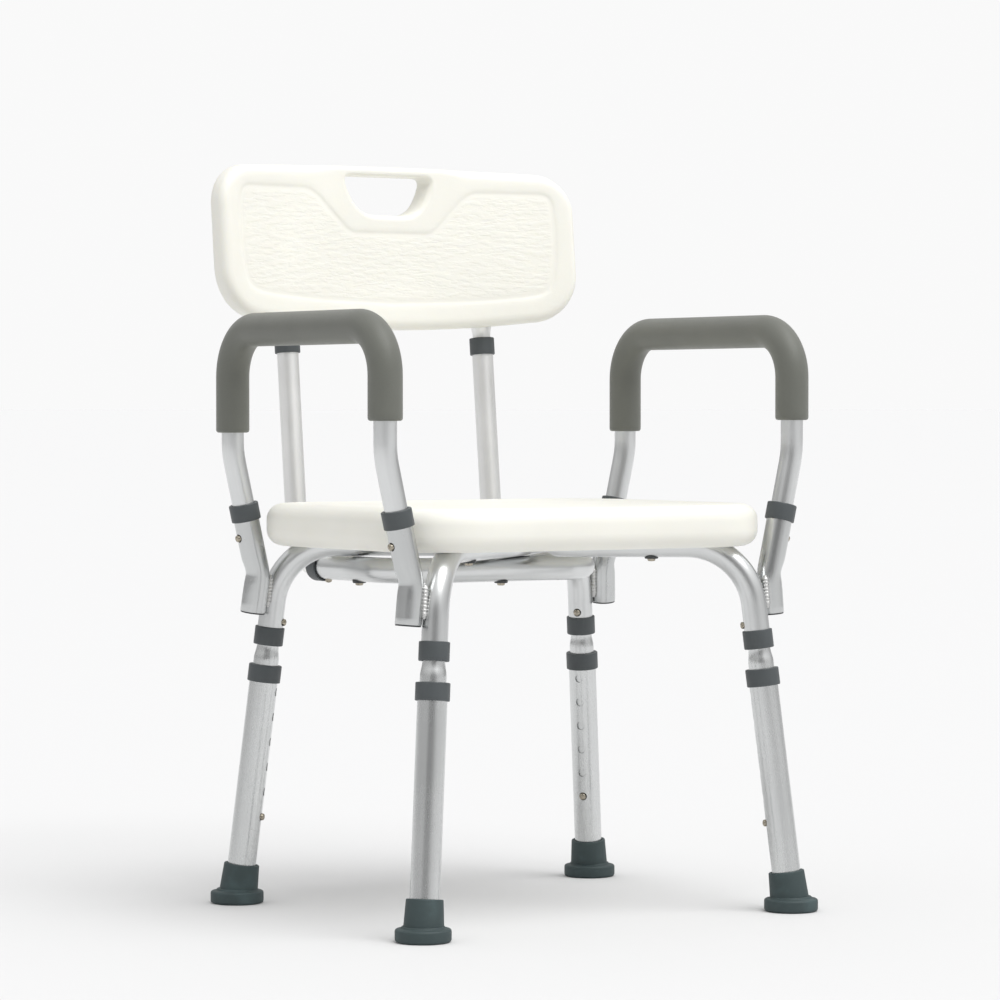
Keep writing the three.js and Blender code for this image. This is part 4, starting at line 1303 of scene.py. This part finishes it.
@dataclass
class Arm:
    """One side's lift-out arm with its foam grip, and the welded sockets that take it."""

    stance: Stance
    name: str
    x: int
    radius: float = 11.1
    wall: float = 1.4
    socket_radius: float = 12.7
    socket_wall: float = 1.3
    grip_radius: float = 16.6
    at_x: float = 237.8
    front_y: float = -148.2
    rear_y: float = 144.9
    top: float = 576.9
    top_bend: float = 47.0
    jog: float = 455.0
    jog_bend: float = 90.0
    lean: float = 0.23
    end: float = 346.0
    grip_front: float = 487.5
    grip_rear: float = 475.0
    socket_top: float = 402.0
    kink: float = 332.0
    kink_bend: float = 60.0
    socket_end: float = 295.5
    offset_x: float = 25.5
    offset_y: tuple[float, float] = (7.3, -5.9)
    button_z: float = 372.0
    collar_length: float = 17.0
    dent_depth: float = 2.2
    dent_rise: float = 4.0
    dent_spread: float = 60.0
    grip_gap: float = 0.35
    grip_edge: float = 2.4

    def lean_x(self, z: float) -> float:
        """Distance from the middle of the sloping lower arm at a height."""
        return self.at_x - self.lean * (self.jog - z)

    def on_side(self, x: float, y: float, z: float) -> Array:
        """A point drawn for the sitter's left, put on this side."""
        return np.array([self.x * x, y, z])

    def corners(self, front_z: float, rear_z: float) -> list[Array]:
        """Corners from the front end over the top to the rear end."""
        ends = []
        for y, z in ((self.front_y, front_z), (self.rear_y, rear_z)):
            below = [self.on_side(self.lean_x(z), y, z)] if z < self.jog else []
            ends.append(below + [self.on_side(self.at_x, y, max(z, self.jog))])
        top = [self.on_side(self.at_x, y, self.top) for y in (self.front_y, self.rear_y)]
        return ends[0] + top + ends[1][::-1]

    def socket_line(self, y: int) -> Centreline:
        """From beside the leg, up through the kink, along the sloping arm."""
        at_y = self.front_y if y < 0 else self.rear_y
        heading = self.stance.heading(1, y) * self.stance.reach(self.socket_end)
        low = self.on_side(
            heading[0] + self.offset_x, heading[1] + self.offset_y[0 if y < 0 else 1], self.socket_end,
        )
        return Centreline(
            [low, self.on_side(self.lean_x(self.kink), at_y, self.kink),
             self.on_side(self.lean_x(self.socket_top), at_y, self.socket_top)],
            [self.kink_bend], (0, 1, 0),
        )

    def build(self, shop: Workshop) -> None:
        """Makes the arm tube, its grip, the sockets, collars, buttons, welds and plugs."""
        button = SnapButton()
        body = f"arm_{self.name}"
        out = unit((self.x, 0, -self.lean))
        along = unit((self.x * self.lean, 0, 1))
        rows = [("front", -1, self.front_y), ("rear", 1, self.rear_y)]
        button_x = self.lean_x(self.button_z)
        spots = {word: self.on_side(button_x, at_y, self.button_z) for word, _, at_y in rows}
        bends = [self.jog_bend, self.top_bend, self.top_bend, self.jog_bend]
        line = Centreline(self.corners(self.end, self.end), bends, (1, 0, 0))
        holes = [button.bore(spots[word], out, self.radius) for word, _, _ in rows]
        shop.piece(
            f"arm_bar_{self.name}", [tube(line, self.radius, self.wall)], body, "arm aluminium",
            [f"arm_tube_{self.name}"], [holes],
        )
        self.grip(shop, body)
        for word, y, at_y in rows:
            corner = f"{word}_{self.name}"
            socket = tube(self.socket_line(y), self.socket_radius, self.socket_wall)
            shop.piece(
                f"socket_{corner}", [self.dented(socket)], "frame", "socket aluminium",
                [f"arm_socket_{corner}"], [[button.bore(spots[word], out, self.socket_radius)]],
            )
            top = self.on_side(self.lean_x(self.socket_top), at_y, self.socket_top)
            Collar(self.socket_radius, self.radius, self.collar_length).fit(
                shop, f"arm_{corner}", "frame", f"arm_collar_{corner}", top, along,
            )
            skin = button.skin(spots[word], out, self.radius - self.wall, self.socket_radius)
            button.fit(shop, f"arm_{corner}", f"arm_button_{corner}", skin)
            self.plug(shop, corner, y)
            self.weld(shop, corner, y)

    def dented(self, socket: Skin) -> Skin:
        """Flattens the outer side of the kink: x' = x - depth * exp(-(z - kink - rise)^2 / spread)."""
        x = self.x * socket.points[:, 0]
        outer = smoothstep((x - self.lean_x(self.kink)) / self.socket_radius)
        height = socket.points[:, 2] - self.kink - self.dent_rise
        hollow = self.dent_depth * np.exp(-(height**2) / self.dent_spread)
        socket.points[:, 0] -= self.x * outer * hollow
        return socket

    def grip(self, shop: Workshop, body: str) -> None:
        """The foam sleeve, with soft ends."""
        line = Centreline(self.corners(self.grip_front, self.grip_rear), [self.top_bend] * 2, (1, 0, 0))
        wall = self.grip_radius - self.radius - self.grip_gap
        skin = tube(line, self.grip_radius, wall, edge=self.grip_edge, sides=56)
        obj = shop.piece(
            f"grip_foam_{self.name}", [skin], body, "grip foam", [f"arm_grip_{self.name}"], crease=60,
        )

    def plug(self, shop: Workshop, corner: str, y: int) -> None:
        """The dark plug in a socket's lower end."""
        centre, tangent = self.socket_line(y).at(np.array([0.0]))
        cap, spigot = self.socket_radius - 0.4, self.socket_radius - self.socket_wall - 0.2
        profile = eased([
            (0, 1.4, 0), (cap, 1.4, 0.9), (cap, 0.05, 0), (spigot, 0.05, 0), (spigot, -5, 0),
            (0, -5, 0),
        ], 4)
        skin = turned(profile, centre[0], -tangent[0])
        shop.piece(f"socket_plug_{corner}", [skin], "frame", "dark nylon")

    def weld(self, shop: Workshop, corner: str, y: int) -> None:
        """The weld between a socket and the frame tube, from its lower end to the kink."""
        heights = np.array([self.socket_end + 5, self.kink + 1])
        sockets, _ = self.socket_line(y).at(np.array([5.0, 38.0]))
        heading = self.stance.heading(self.x, y)
        legs = np.array([heading * self.stance.reach(z) for z in heights])
        legs[:, 2] = heights
        middle = (sockets + legs) / 2
        aside = unit(np.cross(middle[1] - middle[0], sockets[0] - legs[0]))
        shop.piece(f"weld_{corner}", WeldBead().skins(middle, aside), "frame", "weld bead")


@dataclass
class BackBracket:
    """The U-shaped tube under the frame that takes the back posts, its bolts, collars and buttons."""

    half_x: float = 119.5
    front: float = 20.0
    rear: float = 178.0
    bend: float = 45.0
    z: float = 338.05
    radius: float = 12.7
    wall: float = 1.4
    post_radius: float = 11.1
    button_y: float = 158.0
    collar_length: float = 17.0
    bolt_y: float = 97.0

    def build(self, shop: Workshop) -> None:
        """Makes the bracket and what is fixed to it."""
        button = SnapButton()
        down = np.array([0, 0, -1.0])
        spots = {word: np.array([x * self.half_x, self.button_y, self.z]) for word, x in SIDES.items()}
        line = Centreline([
            (-self.half_x, self.rear, self.z), (-self.half_x, self.front, self.z),
            (self.half_x, self.front, self.z), (self.half_x, self.rear, self.z),
        ], [self.bend, self.bend], (0, 0, 1))
        holes = [button.bore(at, down, self.radius) for at in spots.values()]
        shop.piece(
            "bracket_bend", [tube(line, self.radius, self.wall)], "frame", "frame aluminium",
            ["back_bracket_tube"], [holes],
        )
        for word, x in SIDES.items():
            Collar(self.radius, self.post_radius, self.collar_length).fit(
                shop, f"bracket_{word}", "frame", f"bracket_collar_{word}",
                np.array([x * self.half_x, self.rear, self.z]), (0, 1, 0),
            )
            skin = button.skin(spots[word], down, self.post_radius - self.wall, self.radius)
            button.fit(shop, f"bracket_{word}", f"bracket_button_{word}", skin)
            under = np.array([x * self.half_x, self.bolt_y, self.z - self.radius])
            saddle_bolt(shop, f"bracket_bolt_{word}", under)
        saddle_bolt(shop, "bracket_bolt_front", np.array([0, self.front, self.z - self.radius]))


@dataclass
class BackRest:
    """The two bent posts, their collars and stubs, and the curved back moulding."""

    bracket: BackBracket
    recline: float = 0.102
    y_at_seat: float = 225.5
    seat_top: float = 404.4
    post_top: float = 572.0
    post_bend: float = 45.0
    post_wall: float = 1.4
    engagement: float = 60.0
    collar_length: float = 18.0
    stub_radius: float = 10.85
    stub_neck: float = 9.4
    stub_below: float = 45.0
    stub_inside: float = 55.0
    stub_gap: float = 0.4
    boss_radius: float = 14.4
    boss_from: float = 16.0
    boss_over: float = 3.3
    half_x: float = 216.0
    top: float = 752.0
    top_drop: float = 5.0
    bottom: float = 581.0
    bottom_rise: float = 16.0
    top_corner: float = 42.0
    bottom_corner: float = 52.0
    thickness: float = 32.0
    ease: float = 11.0
    bar_ease: float = 5.6
    sagitta: float = 30.0
    middle_y: float = 247.0
    middle_z: float = 670.0
    groove_depth: float = 1.2
    groove_width: float = 3.0
    field_depth: float = 0.9
    handle_half: float = 62.0
    handle_fade: float = 40.0

    @property
    def arc(self) -> float:
        """Radius of the panel's curve seen from above."""
        return (self.half_x**2 + self.sagitta**2) / (2 * self.sagitta)

    @property
    def up(self) -> Array:
        """The way the posts rise above the seat."""
        return unit((0, self.recline, 1))

    @property
    def stub_top(self) -> float:
        """Height of a stub's top above the post's, along it."""
        return (self.bottom - self.post_top + self.stub_inside) / self.up[2]

    def post_y(self, z: float) -> float:
        """Place of the posts at a height."""
        return self.y_at_seat + self.recline * (z - self.seat_top)

    def build(self, shop: Workshop) -> None:
        """Makes the posts, then the stubs and the moulding that they carry."""
        button = SnapButton()
        radius, z = self.bracket.post_radius, self.bracket.z
        for word, x in SIDES.items():
            at_x = x * self.bracket.half_x
            line = Centreline([
                (at_x, self.bracket.rear - self.engagement, z), (at_x, self.post_y(z), z),
                (at_x, self.post_y(self.post_top), self.post_top),
            ], [self.post_bend], (1, 0, 0))
            hole = button.bore(np.array([at_x, self.bracket.button_y, z]), (0, 0, -1), radius)
            # The post takes the lightened aluminium, painted light against its shade.
            shop.piece(
                f"post_{word}", [tube(line, radius, self.post_wall)], "back_frame", "post aluminium painted light",
                [f"back_post_{word}"], [[hole]],
            )
            top = np.array([at_x, self.post_y(self.post_top), self.post_top])
            Collar(radius, self.stub_neck, self.collar_length).fit(
                shop, f"post_{word}", "back_frame", f"back_collar_{word}", top, self.up,
            )
            stub = eased([
                (0, -self.stub_below, 0), (self.stub_neck, -self.stub_below, 0.6),
                (self.stub_neck, 6.5, 2.5), (self.stub_radius, 12.5, 2.5),
                (self.stub_radius, self.stub_top, 0.5), (0, self.stub_top, 0),
            ], 6)
            shop.piece(
                f"stub_{word}", [turned(stub, top, self.up)], "back", "post aluminium painted light",
                [f"back_stub_{word}"],
            )
        self.moulding(shop)

    def outline(self) -> Array:
        """Two crowned edges and four round corners, counter-clockwise in x and z."""
        t = np.linspace(0, 1, 40)[:, None]
        half, low, high = self.half_x, self.bottom_corner, self.top_corner
        bottom = self.bottom + self.bottom_rise * ((half - low) / half) ** 2
        top = self.top - self.top_drop * ((half - high) / half) ** 2

        def crown(a: Vec, b: Vec, c: Vec) -> Array:
            """A quadratic curve through three control points."""
            return (1 - t) ** 2 * np.array(a) + 2 * t * (1 - t) * np.array(b) + t**2 * np.array(c)

        def corner(x: float, z: float, radius: float, start: float) -> Array:
            """A quarter circle."""
            angle = math.pi * (start + t[:, 0] / 2)
            return np.stack([x + radius * np.cos(angle), z + radius * np.sin(angle)], 1)

        rows = [
            crown((low - half, bottom), (0, 2 * self.bottom - bottom), (half - low, bottom)),
            corner(half - low, bottom + low, low, 1.5), corner(half - high, top - high, high, 0.0),
            crown((half - high, top), (0, 2 * self.top - top), (high - half, top)),
            corner(high - half, top - high, high, 0.5), corner(low - half, bottom + low, low, 1.0),
        ]
        return evenly(np.concatenate(rows), 3.2)

    @staticmethod
    def handle() -> Array:
        """The handle's outline, counter-clockwise."""
        corners = [(-36, 701, 22), (36, 701, 22), (56, 742, 12), (-56, 742, 12)]
        return evenly(eased(corners, 12, True), 1.8)

    @staticmethod
    def recess() -> Array:
        """The line of the groove that bounds the grained field."""
        half = [
            (0, 609.2, 0), (100, 612.6, 30), (172, 619.5, 22), (185.5, 629, 13), (190.5, 662, 20),
            (191, 690, 10), (188.5, 726.5, 13), (101, 726.5, 9), (89, 720, 8), (50, 681.5, 9),
        ]
        other = [(-x, z, ease) for x, z, ease in half[1:]]
        return evenly(eased(half + other[::-1], 7, True), 2.2)

    def lift(self, flat: Array, side: int, drop: Array) -> Array:
        """Places the panel's faces.

        Middle: y = y0 - (R - sqrt(R^2 - x^2)) + recline * (z - z0); the front (side 1) lies half the
        thickness before it and the back half behind. The front sinks by a groove
        depth * exp(-(d / width)^2) and by the field's depth inside it.
        """
        x, z = flat[:, 0], flat[:, 1]
        bow = self.arc - np.sqrt(self.arc**2 - x**2)
        middle = self.middle_y - bow + self.recline * (z - self.middle_z)
        half = self.thickness / 2 - drop
        if side > 0:
            d = depth_inside(flat, self.recess())
            half = half - self.groove_depth * np.exp(-((d / self.groove_width) ** 2))
            half = half - self.field_depth * smoothstep(d / 5)
        return np.stack([x, middle - side * half, z], 1)

    def grain(self, flat: Array, side: int) -> Array:
        """1 on the front field inside the groove, fading over its edge, and a trace elsewhere."""
        if side < 0:
            return np.full(len(flat), 0.1)
        return 0.08 + 0.92 * smoothstep((depth_inside(flat, self.recess()) - 2) / 3)

    def moulding(self, shop: Workshop) -> None:
        """The moulding, bored for the stubs, with a round boss behind it over each of them."""
        recess = self.recess()
        guide = np.concatenate([moved_in(recess, d) for d in (-3.4, -2.2, -1.1, 0, 1.1, 2.2, 3.4)])
        outline, handle = self.outline(), self.handle()
        beside = smoothstep((np.abs(outline[:, 0]) - self.handle_half) / self.handle_fade)
        slim = (1 - beside) * (outline[:, 1] > self.middle_z)
        ease = self.ease - (self.ease - self.bar_ease) * slim
        below_bar = smoothstep((handle[:, 1].max() - 5 - handle[:, 1]) / 12)
        lip = self.bar_ease - 1.8 + 2.4 * below_bar
        plate = Plate(outline, ease, [(handle, lip)], 4.5, guide, recess, 8)
        skin = plate.skin(self.lift, self.grain)
        post_end = np.array([0, self.post_y(self.post_top), self.post_top])
        tops = [post_end + np.array([x * self.bracket.half_x, 0, 0]) for x in SIDES.values()]
        bore = self.stub_radius + self.stub_gap
        bores = [rod(bore, top, self.up, self.stub_top + 0.6, 40) for top in tops]
        shop.piece(
            "back_moulding", [skin], "back", "cream moulding", ["back_panel"], [bores], crease=34,
        )
        low, ceiling, roof = self.boss_from, self.stub_top + 0.5, self.stub_top + self.boss_over
        boss = eased([
            (bore, low, 0.3), (self.boss_radius, low, 1.2), (self.boss_radius, roof, 5), (0, roof, 0),
            (0, ceiling, 0), (bore, ceiling, 0),
        ], 6, True)
        for word, top in zip(SIDES, tops):
            skin = turned(np.roll(boss, 1, 0), top, self.up)
            shop.piece(f"back_boss_{word}", [skin], "back", "cream moulding")


@dataclass
class Studio:
    """Plain pale floor, soft light and the camera."""

    shift: Array
    position: tuple[float, float, float] = (-2.1931, -3.3715, 0.5001)
    pan: float = -32.875
    pitch: float = -1.317
    lens: float = 144.86
    floor_radius: float = 900.0
    backdrop: float = 0.95
    walls: float = 0.42
    ceiling: float = 0.5
    front_shade: float = 0.58

    def build(self, shop: Workshop) -> None:
        """Lays the floor, hangs the lights and sets up the camera."""
        scene = bpy.context.scene
        scene.view_settings.view_transform = "Standard"
        bpy.ops.mesh.primitive_circle_add(vertices=96, radius=self.floor_radius, fill_type="NGON")
        floor = bpy.context.object
        floor.name = "studio_floor"
        floor.data.materials.append(shop.material("studio floor"))
        floor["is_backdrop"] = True
        self.world(scene)
        self.sun("key_sun", (math.radians(28), 0, math.radians(14)), 1.78, 45)
        self.sun("fill_sun", (math.radians(55), 0, math.radians(40)), 0.22, 80)
        data = bpy.data.cameras.new("studio_camera")
        data.lens = self.lens
        data.sensor_width = 36.0
        camera = bpy.data.objects.new("studio_camera", data)
        camera.location = Vector(self.position) + Vector(self.shift * MM)
        camera.rotation_euler = (math.radians(90 + self.pitch), 0, math.radians(self.pan))
        scene.collection.objects.link(camera)
        scene.camera = camera

    @staticmethod
    def sun(name: str, turn: tuple[float, float, float], strength: float, size: float) -> None:
        """A soft distant light."""
        data = bpy.data.lights.new(name, "SUN")
        data.energy = strength
        data.angle = math.radians(size)
        light = bpy.data.objects.new(name, data)
        light.rotation_euler = turn
        bpy.context.scene.collection.objects.link(light)

    def world(self, scene: bpy.types.Scene) -> None:
        """A white surround to look at, which lights as a bright ceiling over greyer walls.

        The wall in front of the chair is darker, for the tubes to mirror.
        """
        world = bpy.data.worlds.new("studio")
        world.use_nodes = True
        scene.world = world
        shader = Shader(world.node_tree)
        direction = shader.node("ShaderNodeTexCoord").outputs["Generated"]
        split = shader.node("ShaderNodeSeparateXYZ", {}, {0: direction})
        height = Value(shader, split.outputs[2])
        aside = Value(shader, split.outputs[0]) * -0.543 + Value(shader, split.outputs[1]) * -0.84
        bright = shader.ramp(height, 0.0, 0.75) * self.ceiling + self.walls
        bright = bright * (1 - shader.ramp(aside, 0.8, 0.98) * self.front_shade)
        seen = Value(shader, shader.node("ShaderNodeLightPath").outputs["Is Camera Ray"])
        strength = seen * self.backdrop + (1 - seen) * bright
        background = shader.node(
            "ShaderNodeBackground", {}, {"Color": (1, 1, 1, 1), "Strength": strength},
        )
        output = shader.node("ShaderNodeOutputWorld")
        shader.tree.links.new(background.outputs[0], output.inputs[0])


def finishes() -> dict[str, Finish]:
    """Every finish by its name."""
    kinds = [
        DrawnAluminium("frame aluminium", Slot.ALUMINIUM, (0.68, 0.69, 0.69), 0.29),
        DrawnAluminium("leg aluminium", Slot.ALUMINIUM, (0.66, 0.67, 0.67), 0.27, 0.5),
        DrawnAluminium("arm aluminium", Slot.ALUMINIUM, (0.70, 0.71, 0.71), 0.3, 0.3),
        DrawnAluminium("socket aluminium", Slot.ALUMINIUM, (0.57, 0.58, 0.58), 0.25, 0.4),
        # The posts and stubs get a lighter aluminium than the other tubes: painted light, to lift the
        # shade they stand in behind the seat and moulding.
        DrawnAluminium("post aluminium painted light", Slot.ALUMINIUM, (0.86, 0.86, 0.85), 0.46, 0.3),
        MouldedPlastic("cream moulding", Slot.CREAM, (0.86, 0.85, 0.785), 0.42),
        CollarNylon("collar nylon", Slot.COLLAR, (0.066, 0.075, 0.079), 0.46),
        CollarNylon("dark nylon", Slot.COLLAR, (0.035, 0.038, 0.04), 0.42),
        MattRubber("foot rubber", Slot.RUBBER, (0.036, 0.056, 0.058), 0.6),
        GripFoam("grip foam", Slot.FOAM, (0.126, 0.13, 0.112), 0.5),
        PlatedSteel("plated steel", Slot.STEEL, (0.42, 0.38, 0.31), 0.22),
        WeldMetal("weld bead", Slot.ALUMINIUM, (0.66, 0.66, 0.65), 0.42),
        StudioFloor("studio floor", Slot.CREAM, (0.7015, 0.7015, 0.7035), 0.9),
    ]
    return {finish.name: finish for finish in kinds}


def main() -> None:
    """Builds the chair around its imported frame, sub-assembly by sub-assembly."""
    logging.basicConfig(level=logging.INFO, format="%(name)s: %(message)s")
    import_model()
    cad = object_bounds()
    low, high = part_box("seat_panel")
    shift = np.array([(low[0] + high[0]) / 2, (low[1] + high[1]) / 2, 0.0]) / MM
    shop = Workshop(shift, finishes())
    stance = Stance()
    cross = CrossFrame(stance)
    cross.build(shop)
    Seat(cross).build(shop)
    for name, (x, y) in CORNERS.items():
        Leg(cross, name, x, y).build(shop)
    for name, x in SIDES.items():
        Arm(stance, name, x).build(shop)
    bracket = BackBracket()
    bracket.build(shop)
    BackRest(bracket).build(shop)
    Studio(shift).build(shop)
    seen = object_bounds()
    sizes = {
        "cad": [list(map(float, row)) for row in cad],
        "visual": [list(map(float, row)) for row in seen],
    }
    LOG.info("%d pieces, CAD box %s, visual box %s", shop.count, sizes["cad"], sizes["visual"])


if __name__ == "__main__":
    main()
